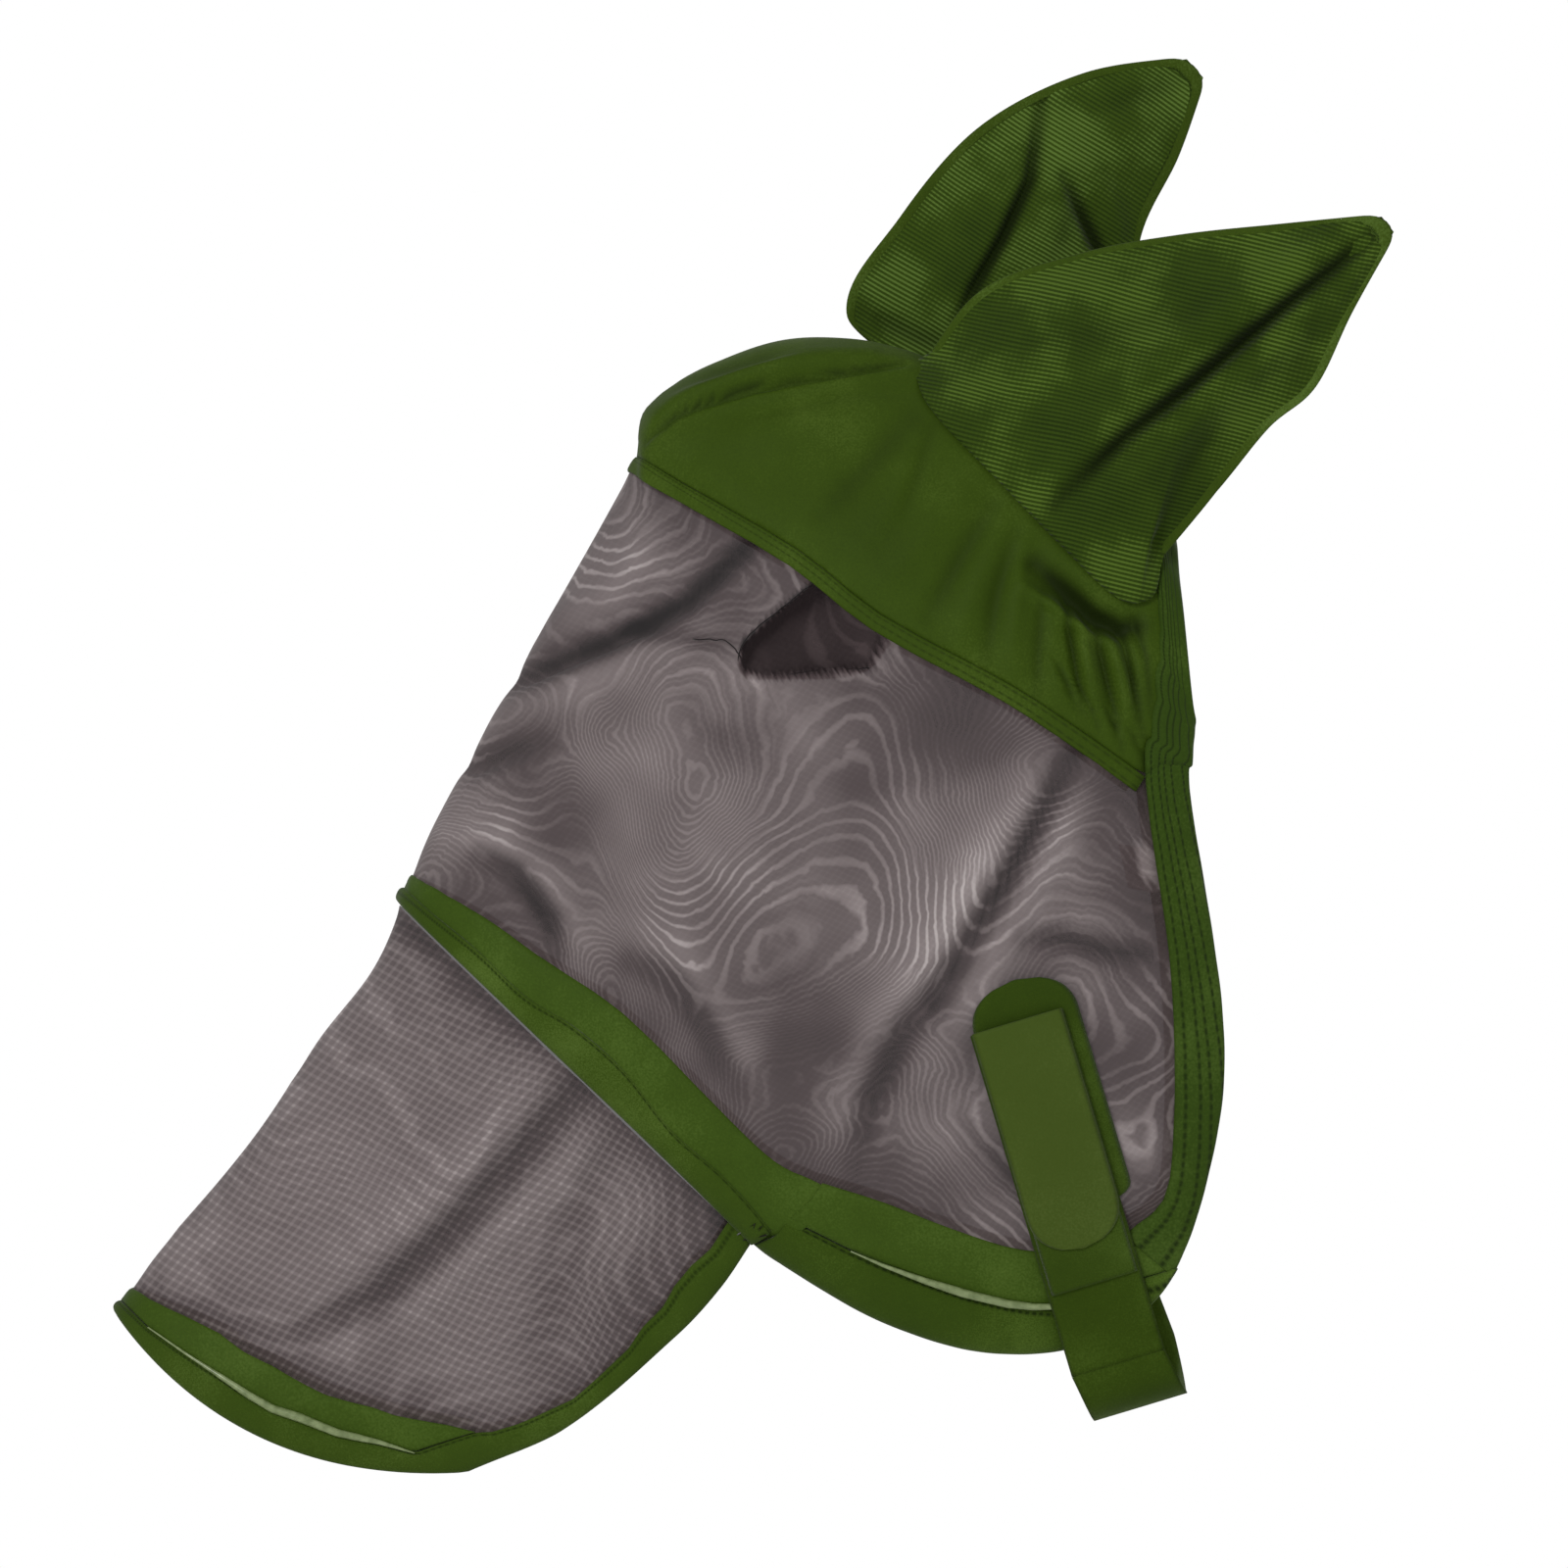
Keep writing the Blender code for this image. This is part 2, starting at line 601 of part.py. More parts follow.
def strap_bow():
    """The far leg and the slack loop under the throat, sewn to the far cheek."""
    low = HALF + 2.8 + GAP
    high = low + WEBBING
    wide = STRAP_WIDTH / 2
    spots = [wide * k / 2 for k in (-2, -1, 0, 1, 2)]
    rings = []
    for i in range(10):
        v = 96 + (BEND - 96) * i / 9
        rings.append(
            [strap_point(u, v, FAR, high) for u in spots]
            + [strap_point(u, v, FAR, low) for u in spots[::-1]]
        )
    steps = 16
    for i in range(1, steps + 1):
        angle = pi * i / steps
        turn = []
        for thick, order in ((high, spots), (low, spots[::-1])):
            reach = 58 * WIDE + thick
            sign = 1 if cos(angle) >= 0 else -1
            y = reach * sign * abs(cos(angle)) ** 0.55
            drop = (STRAP_DROP + thick - low) * sin(angle) ** 0.75
            for u in order:
                end = strap_point(u, BEND, FAR, thick)
                turn.append(Vector((end.x + DOWN[0] * drop * SIZE, y, end.z + DOWN[1] * drop * SIZE)))
        if i < steps:
            rings.append(turn)
    end = []
    for thick, order in ((high, spots), (low, spots[::-1])):
        for u in order:
            p = strap_point(u, BEND, NEAR, thick)
            end.append(Vector((p.x + DOWN[0] * GAP, p.y, p.z + DOWN[1] * GAP)))
    rings.append(end)
    loft("throat_strap_bow", rings, DARK)


def strap():
    base = HALF + GAP
    strap_layer("cheek_pad", NEAR, -20, 106, base, base + PILE - GAP - 0.1, 28, DARK, shift=5)
    low = HALF + 2.8 + GAP
    high = low + WEBBING
    p = strap_point(0, BEND, NEAR, high)
    strap_layer("strap_near_leg", NEAR, 1, BEND, low, high, STRAP_WIDTH / 2, DARK, tuple(p))
    strap_layer("strap_loop_patch", NEAR, 9, 142, high + GAP, high + GAP + 1.2, STRAP_WIDTH / 2 - 2, DARK, tuple(p))
    q = strap_point(0, 0, NEAR, high + GAP + 1.2 + GAP)
    strap_layer(
        "strap_end_tab", NEAR, 0, 122, high + 1.2 + 2 * GAP, high + 1.2 + 2 * GAP + WEBBING,
        STRAP_WIDTH / 2 - 1, LIGHT, tuple(q), rounded=26,
    )
    strap_bow()
    strap_layer("far_anchor_patch", FAR, 98, 126, high + GAP, high + GAP + 1.2, STRAP_WIDTH / 2 - 3, DARK)


face_mesh()
eye_darts()
poll_panel()
brow_hem()
crown_band()
rear_bands()
jaw_bands()
nose_band()
care_label()
nose_piece()
ears()
strap()
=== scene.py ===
import bmesh
import bpy
import numpy as np
from math import cos, pi, radians, sin
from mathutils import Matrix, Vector


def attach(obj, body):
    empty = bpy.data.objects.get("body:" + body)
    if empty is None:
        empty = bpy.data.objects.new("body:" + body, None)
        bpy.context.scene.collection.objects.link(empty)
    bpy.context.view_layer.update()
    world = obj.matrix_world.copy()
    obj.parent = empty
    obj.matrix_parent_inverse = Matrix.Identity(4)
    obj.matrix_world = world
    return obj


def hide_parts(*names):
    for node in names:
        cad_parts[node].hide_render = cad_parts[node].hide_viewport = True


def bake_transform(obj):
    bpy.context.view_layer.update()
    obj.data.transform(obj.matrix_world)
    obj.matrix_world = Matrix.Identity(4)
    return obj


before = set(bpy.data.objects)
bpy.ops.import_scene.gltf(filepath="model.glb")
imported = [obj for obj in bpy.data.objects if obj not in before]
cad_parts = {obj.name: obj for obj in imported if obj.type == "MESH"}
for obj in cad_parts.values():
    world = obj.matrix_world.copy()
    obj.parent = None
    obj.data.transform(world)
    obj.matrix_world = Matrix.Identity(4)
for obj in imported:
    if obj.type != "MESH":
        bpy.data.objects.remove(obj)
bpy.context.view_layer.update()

# ---- Camera, floor and studio light ----
# A pale floor stands clear below the mask, which is seen square from the near side.
# A large soft box lights it from the upper front left, a weak one low on the right and one behind.
CAMERA_PLACE = (-0.170, -6.5, -0.170)
CAMERA_LENS = 284  # mm on a 36 mm sensor
FLOOR_LOW, FLOOR_WIDE, FLOOR_FRONT, FLOOR_BACK = -0.64, 14.0, -14.0, 0.5  # m
ROOM_LIGHT = 0.52  # strength of the room as a light; where it is seen it is 1


def linear(colour):
    """An sRGB hex colour as linear red, green, blue and 1."""
    parts = [int(colour[i : i + 2], 16) / 255 for i in (1, 3, 5)]
    return [p / 12.92 if p <= 0.04045 else ((p + 0.055) / 1.055) ** 2.4 for p in parts] + [1]


def add(tree, kind, inputs=None, **settings):
    """A node with its settings, and its sockets set to values or fed from other nodes."""
    made = tree.nodes.new(kind)
    for key, value in settings.items():
        setattr(made, key, value)
    for key, value in (inputs or {}).items():
        if isinstance(value, bpy.types.NodeSocket):
            tree.links.new(value, made.inputs[key])
        else:
            made.inputs[key].default_value = value
    return made


def finish_of(name, colour, roughness, sheen=0.0):
    """A new material with one Principled shader: returns it, its node tree and the shader."""
    made = bpy.data.materials.new(name)
    made.use_nodes = True
    tree = made.node_tree
    tree.nodes.clear()
    shader = add(tree, "ShaderNodeBsdfPrincipled", {
        "Base Color": linear(colour), "Roughness": roughness, "Sheen Weight": sheen,
        "Sheen Roughness": 0.4, "Specular IOR Level": 0.08,
    })
    add(tree, "ShaderNodeOutputMaterial", {"Surface": shader.outputs["BSDF"]})
    return made, tree, shader


def keep(name, work):
    """A bmesh made into an object at the origin, smooth shaded."""
    mesh = bpy.data.meshes.new(name)
    work.to_mesh(mesh)
    work.free()
    mesh.shade_smooth()
    made = bpy.data.objects.new(name, mesh)
    bpy.context.scene.collection.objects.link(made)
    return made


work = bmesh.new()
bmesh.ops.create_grid(work, x_segments=4, y_segments=4, size=0.5)
for vert in work.verts:
    deep = FLOOR_FRONT + (vert.co.y + 0.5) * (FLOOR_BACK - FLOOR_FRONT)
    vert.co = (vert.co.x * 2 * FLOOR_WIDE, deep, FLOOR_LOW)
floor = keep("paper_floor", work)
paper, paper_tree, paper_shader = finish_of("matte_background_paper", "#fbfbfa", 0.95)
paper_grain = add(paper_tree, "ShaderNodeTexNoise", {"Scale": 60.0, "Detail": 3.0})
paper_bump = add(paper_tree, "ShaderNodeBump", {"Height": paper_grain.outputs["Fac"], "Strength": 0.03})
paper_tree.links.new(paper_bump.outputs["Normal"], paper_shader.inputs["Normal"])
floor.data.materials.append(paper)

world = bpy.data.worlds.new("white_room")
world.use_nodes = True
room = world.node_tree
room.nodes.clear()
seen = add(room, "ShaderNodeLightPath").outputs["Is Camera Ray"]  # the room looks white, and lights less
bright = add(room, "ShaderNodeMapRange", {"Value": seen, "To Min": ROOM_LIGHT, "To Max": 1.0}).outputs[0]
white = add(room, "ShaderNodeBackground", {"Color": (1, 1, 1, 1), "Strength": bright})
add(room, "ShaderNodeOutputWorld", {"Surface": white.outputs["Background"]})
bpy.context.scene.world = world
for name, place_at, aim, size, power in (
    ("key_soft_box", (-1.6, -3.6, 1.3), (-0.1, 0, -0.15), 1.1, 60),
    ("low_soft_box", (1.9, -2.6, -0.3), (-0.1, 0, -0.2), 1.6, 4),
    ("back_soft_box", (1.6, 3.6, 1.6), (-0.1, 0, -0.15), 1.4, 42),
):
    lamp = bpy.data.lights.new(name, "AREA")
    lamp.shape, lamp.size, lamp.energy = "SQUARE", size, power
    lamp_object = bpy.data.objects.new(name, lamp)
    lamp_object.location = place_at
    lamp_object.rotation_euler = (Vector(aim) - Vector(place_at)).to_track_quat("-Z", "Y").to_euler()
    bpy.context.scene.collection.objects.link(lamp_object)

lens = bpy.data.cameras.new("camera")
lens.lens, lens.sensor_width = CAMERA_LENS, 36
camera = bpy.data.objects.new("camera", lens)
camera.location, camera.rotation_euler = CAMERA_PLACE, (radians(90), 0, 0)
bpy.context.scene.collection.objects.link(camera)
bpy.context.scene.camera = camera
bpy.context.scene.view_settings.view_transform = "Standard"

# ---- Face mesh ----
# One piece of fine polyester mesh from cheek to cheek, sewn into the bands all round.
# It is worn soft, so it hangs in shallow folds, and its threads beat against each other in rings.
MM = 0.001  # a millimetre in metres
TOP_LINE = [
    (0, -371, -233), (2, -348, -180), (4, -294, -85), (6, -258, -19), (8, -247, 1), (9, -232, 21),
    (10, -201, 35), (12, -103, 49), (13, -52, 36), (14, -6, 6), (15, 33, -36),
]
LOW_LINE = [
    (0, -186, -408), (1, -164, -425), (2, -116, -452), (3, -62, -467), (4, -10, -461), (5, 31, -429),
    (6, 55, -355), (7, 58, -288), (8, 42, -183), (10, 42, -160), (15, 43, -139),
]
HALF_WIDTH = [(0, 61), (2, 72), (4, 90), (6, 97), (8, 96), (10, 92), (12, 84), (14, 77), (15, 75)]
EDGE_WIDTH = [(0, 52), (2, 54), (4, 56), (5, 60), (6, 68), (7, 75), (8, 78), (10, 78), (15, 74)]
WIDEST = [(0, 0.5), (4, 0.5), (6, 0.55), (8, 0.65), (10, 0.72), (15, 0.85)]
ROUND = 2.4  # roundness of a section: 2 is an ellipse, more is squarer
AROUND = 2.2  # spacing of the places round a section
NEAR, FAR = -1, 1
MESH_CELL = 2.3  # mm between points of the cloth
CALM_REACH, CALM_LEAST = 0.16, 0.25  # how far from the midline it is tight, and how much is left there


def through(knots, at):
    """Smooth values at some places through rows of (place, value, ...)."""
    rows = np.array(knots, float)
    last = len(rows) - 1
    ahead, back = np.r_[1 : last + 1, last], np.r_[0, 0:last]
    slope = (rows[ahead, 1:] - rows[back, 1:]) / (rows[ahead, 0] - rows[back, 0])[:, None]
    at = np.asarray(at, float)
    i = np.clip(np.searchsorted(rows[:, 0], at) - 1, 0, last - 1)
    h = (rows[i + 1, 0] - rows[i, 0])[..., None]
    u = (at - rows[i, 0])[..., None] / h
    return (
        (2 * u**3 - 3 * u**2 + 1) * rows[i, 1:] + (u**3 - 2 * u**2 + u) * h * slope[i]
        + (3 * u**2 - 2 * u**3) * rows[i + 1, 1:] + (u**3 - u**2) * h * slope[i + 1]
    )


def flow(points, steps=3):
    """A smooth line through the points, with some steps between each two."""
    points = np.array(points, float)
    run = np.r_[0, np.cumsum(np.linalg.norm(np.diff(points, axis=0), axis=1))]
    fine = np.interp(np.arange((len(points) - 1) * steps + 1) / steps, range(len(points)), run)
    return through(np.c_[run, points], fine)


def across(widest, full, edge, t):
    """Distance from the midline at depth t of a section."""
    rounded = full * np.maximum(1 - np.maximum(1 - t / widest, 0) ** ROUND, 0) ** (1 / ROUND)
    return rounded - (full - edge) * np.maximum((t - widest) / (1 - widest), 0) ** 2


def head(row, a):
    """Point of the head's surface, mm; a is -1 at the near lower edge, 0 on the midline, 1 far."""
    row, a = np.broadcast_arrays(np.asarray(row, float), np.asarray(a, float))
    t = np.abs(a) ** AROUND
    top, low = through(TOP_LINE, row), through(LOW_LINE, row)
    y = across(
        through(WIDEST, row)[..., 0], through(HALF_WIDTH, row)[..., 0],
        through(EDGE_WIDTH, row)[..., 0], t,
    )
    xz = top + (low - top) * t[..., None]
    return np.stack([xz[..., 0], np.where(a > 0, y, -y), xz[..., 1]], -1)


def facing(surface, row, a):
    """Outward normal of a surface."""
    r0, r1 = np.maximum(row - 0.02, 0), np.minimum(row + 0.02, ROWS[surface])
    a0, a1 = np.maximum(a - 0.004, -1), np.minimum(a + 0.004, 1)
    n = np.cross(surface(r1, a) - surface(r0, a), surface(row, a1) - surface(row, a0))
    return n / np.linalg.norm(n, axis=-1, keepdims=True) * TURN[surface]


def out(surface, row, a, off):
    """Point at a height above a surface."""
    row, a = np.broadcast_arrays(np.asarray(row, float), np.asarray(a, float))
    return surface(row, a) + facing(surface, row, a) * np.asarray(off, float)[..., None]


def spot(x, z):
    """Row and depth of the head's surface under the side-view places (x, z)."""
    x, z = np.asarray(x, float), np.asarray(z, float)
    low, high = np.zeros_like(x), np.full_like(x, 15.0)
    for _ in range(26):
        row = (low + high) / 2
        p, q = through(TOP_LINE, row), through(LOW_LINE, row)
        d = q - p
        beyond = d[..., 0] * (z - p[..., 1]) - d[..., 1] * (x - p[..., 0]) > 0
        low, high = np.where(beyond, row, low), np.where(beyond, high, row)
    t = ((x - p[..., 0]) * d[..., 0] + (z - p[..., 1]) * d[..., 1]) / (d**2).sum(-1)
    return row, t


def place(x, z, side, off):
    """Point above the head's surface over the side-view place (x, z)."""
    row, t = spot(x, z)
    return out(head, row, side * np.clip(t, 0, 1) ** (1 / AROUND), off)


ROWS, TURN = {head: 15}, {head: 1}
GIRTH = {head: 330.0}  # half of the way round, mm, for a flat copy of the surface
RUN_ROWS = np.linspace(0, 15, 301)
RUN = np.r_[0, np.cumsum(np.linalg.norm(np.diff(head(RUN_ROWS, -0.72), axis=0), axis=1))]


def line_on_head(points):
    """A side-view line as near-side places in the flat copy, past the midline where it leaves it."""
    row, t = spot(points[:, 0], points[:, 1])
    a = -np.clip(t, 0, 1) ** (1 / AROUND)
    return np.c_[np.interp(row, RUN_ROWS, RUN), np.where(t <= 0, 0.06, a) * GIRTH[head]]


def nearest(points, line):
    """The nearest place on a closed line, and whether each point is inside it."""
    best, best_at = np.full(len(points), 1e9), points.copy()
    inside = np.zeros(len(points), bool)
    for p, q in zip(line, np.roll(line, -1, axis=0)):
        d = q - p
        share = np.clip(((points - p) @ d) / max(d @ d, 1e-9), 0, 1)
        at = p + share[:, None] * d
        far = np.linalg.norm(points - at, axis=1)
        closer = far < best
        best[closer], best_at[closer] = far[closer], at[closer]
        crosses = (p[1] > points[:, 1]) != (q[1] > points[:, 1])
        cut = p[0] + (points[:, 1] - p[1]) * d[0] / (d[1] if abs(d[1]) > 1e-9 else 1e-9)
        inside ^= crosses & (points[:, 0] < cut)
    return best, best_at, inside


def cloth(name, surface, run, rows, lines, shape, sides=(-1, 1), cell=MESH_CELL):
    """A grid of cloth on a surface, cut along lines of its flat copy, then laid by shape().
    The first line is the outline and the others are holes, all on the near side."""
    girth = GIRTH[surface]
    long, wide = run[-1], girth * (sides[1] - sides[0])
    work = bmesh.new()
    bmesh.ops.create_grid(
        work, x_segments=int(long / cell), y_segments=int(wide / cell), size=0.5,
    )
    flat = np.array([v.co[:2] for v in work.verts]) + 0.5
    flat[:, 0] *= long
    flat[:, 1] = sides[0] * girth + flat[:, 1] * wide
    folded = np.c_[flat[:, 0], -np.abs(flat[:, 1])]
    kept = np.ones(len(flat), bool)
    border, border_at = np.full(len(flat), 1e9), folded.copy()
    for k, line in enumerate(lines):
        far, at, inside = nearest(folded, line)
        kept &= inside if k == 0 else ~inside
        closer = far < border
        border[closer], border_at[closer] = far[closer], at[closer]
    work.verts.ensure_lookup_table()
    work.verts.index_update()
    gone = [f for f in work.faces if sum(kept[v.index] for v in f.verts) < 3]
    edge = {v.index for f in gone for v in f.verts}
    bmesh.ops.delete(work, geom=gone, context="FACES_ONLY")
    loose = [v for v in work.verts if not v.link_faces]
    for v in work.verts:
        if v.index in edge and v.link_faces and border[v.index] < cell * 1.5:
            i = v.index
            flat[i] = border_at[i] * (1, -np.sign(flat[i, 1]) or 1)
    points = shape(np.interp(flat[:, 0], run, rows), np.clip(flat[:, 1] / girth, -1, 1))
    uv = work.loops.layers.uv.new("cloth")
    for v in work.verts:
        v.co = points[v.index] * MM
        for loop in v.link_loops:
            loop[uv].uv = flat[v.index] * MM
    bmesh.ops.delete(work, geom=loose, context="VERTS")
    bmesh.ops.delete(work, geom=[e for e in work.edges if not e.link_faces], context="EDGES")
    bmesh.ops.recalc_face_normals(work, faces=work.faces)
    middle = max(work.faces, key=lambda f: f.calc_center_median().z)
    if middle.normal.z < 0:
        bmesh.ops.reverse_faces(work, faces=work.faces)
    return keep(name, work)


def near_line(x, z, line):
    """Distance of side-view places from an open line, and how far along it they lie, 0 to 1."""
    line = np.array(line, float)
    best, along = np.full(x.shape, 1e9), np.zeros(x.shape)
    for i, (p, q) in enumerate(zip(line, line[1:])):
        d = q - p
        share = ((x - p[0]) * d[0] + (z - p[1]) * d[1]) / (d @ d)
        share = np.clip(share, 0, 1)
        far = np.hypot(x - p[0] - share * d[0], z - p[1] - share * d[1])
        closer = far < best
        best = np.where(closer, far, best)
        along = np.where(closer, (i + share) / (len(line) - 1), along)
    return best, along


def fold(x, z, line, width, height):
    """A soft ridge, or a valley where height is negative, that dies away at both ends of a line."""
    far, along = near_line(x, z, line)
    return height * np.exp(-((far / width) ** 2)) * np.sin(pi * np.clip(along, 0.06, 0.94)) ** 0.5


def folded(lift, x, z, folds):
    """A lift with all of its folds added."""
    for line, width, height in folds:
        lift = lift + fold(x, z, line, width, height)
    return lift


def shaded(dark, flat, lines):
    """A tone with the shade added that each (line, depth, reach) casts on the cloth beside it."""
    for line, deep, reach in lines:
        far, _ = near_line(flat[:, 0], flat[:, 1], line)
        dark = dark + deep * np.exp(-far / reach)
    return dark


def swell(x, z, seed, size, height):
    """Broad unevenness of hanging cloth, from a few long waves in fixed directions."""
    draw = np.random.default_rng(seed)
    total = np.zeros(np.shape(x))
    for _ in range(7):
        angle, phase = draw.uniform(0, 2 * pi, 2)
        long = size * draw.uniform(0.7, 1.5)
        total = total + np.sin(2 * pi * (x * cos(angle) + z * sin(angle)) / long + phase)
    return total * height / 3


NOSE_EDGE = flow([
    (-372, -214), (-357, -222), (-323, -241), (-299, -258), (-254, -288), (-199, -343), (-173, -367),
    (-150, -377),
])
JAW_EDGE = flow([(-150, -377), (-118, -387), (-82, -401), (-45, -412), (-10, -411), (6, -404)])
REAR_EDGE = flow([(6, -404), (27, -386), (32, -350), (32, -300), (29, -255), (20, -194), (17, -166)])
BROW = flow([(17, -166), (-11, -146), (-52, -119), (-120, -82), (-162, -49), (-223, -13), (-247, 2)])
MESH_TUCK = 4.0  # mm of mesh under each band
DART = [(-150, -62), (-191, -97), (-192, -112), (-176, -114), (-126, -110), (-114, -84)]
MESH_FOLDS = (  # line, width, height, all mm
    ([(-352, -128), (-300, -112), (-262, -97), (-221, -76), (-197, -54), (-176, -36)], 5, -9.0),
    ([(-345, -144), (-290, -124), (-250, -106), (-214, -90)], 8, 4.5),
    ([(-300, -96), (-262, -72), (-238, -40)], 9, 4.0),
    ([(-366, -154), (-336, -160), (-296, -148)], 6, -6.0),
    ([(-18, -152), (-36, -186), (-54, -218), (-74, -252), (-92, -284)], 5, -10.0),
    ([(-10, -158), (-28, -200), (-46, -236), (-66, -272), (-80, -296)], 8, 6.0),
    ([(-30, -148), (-56, -196), (-80, -238), (-104, -270)], 9, 5.0),
    ([(-84, -268), (-108, -300), (-124, -334), (-132, -366)], 6, -7.0),
    ([(-96, -262), (-124, -300), (-142, -340)], 8, 4.0),
    ([(-330, -206), (-310, -216), (-292, -240), (-288, -258)], 4.5, -7.0),
    ([(-346, -198), (-318, -200), (-292, -220), (-276, -250)], 7, 5.0),
    ([(-250, -262), (-228, -272), (-210, -300), (-196, -330)], 6, -5.0),
    ([(-262, -240), (-226, -254), (-196, -296), (-180, -330)], 8, 3.0),
    ([(-46, -252), (-24, -250), (0, -258), (26, -258)], 4, -6.0),
    ([(-40, -242), (-10, -240), (22, -248)], 6, 3.0),
    ([(-186, -108), (-160, -140), (-150, -190), (-158, -250)], 12, 2.5),
    ([(-194, -110), (-240, -150), (-262, -205)], 13, 2.2),
    ([(-190, -100), (-222, -94), (-256, -88)], 4, -3.0),
    ([(-70, -350), (-44, -376), (-20, -400)], 7, -4.0),
)


def mesh_lift(x, z, side):
    """How far the mesh stands off the head, as it sits on it, at side-view places, by its folds."""
    lift = swell(x, z, 4, 120, 1.5) + swell(x, z + 40 * side, 9, 55, 0.5)
    lift = folded(lift, x, z, MESH_FOLDS)
    for line in (NOSE_EDGE, JAW_EDGE, REAR_EDGE, BROW):
        far, _ = near_line(x, z, line)
        lift = lift * np.clip((far - 5) / 12, 0, 1) ** 0.7
    return lift


def face_lay(row, a, off=0.0):
    """Where the face mesh lies, raised by its folds."""
    ground = head(row, a)
    calm = np.clip(np.abs(a) / CALM_REACH, CALM_LEAST, 1)  # tight over the bridge of the nose
    return out(head, row, a, calm * mesh_lift(ground[:, 0], ground[:, 2], np.sign(a)) + off)


face_line = np.vstack([
    [(-390, -209)], NOSE_EDGE + (0, -MESH_TUCK), JAW_EDGE[1:] + (0, -MESH_TUCK),
    REAR_EDGE[1:] + (MESH_TUCK, 0), BROW[1:] + (2, MESH_TUCK), [(-275, 22)],
])
face = cloth("face_mesh_cloth", head, RUN, RUN_ROWS, [line_on_head(face_line)], face_lay)

# Knitted polyester monofilament, dyed taupe: dull, see-through in part, paler where threads cross.
# The real threads are 0.6 mm apart, too fine to show, so their beat is drawn at its own size.
MESH_BLACK, MESH_DARK, MESH_MID, MESH_PALE = "#1f1819", "#504546", "#857a7a", "#cfc5c4"


MESH_CLOSED = 0.86  # share of the view that the threads stop


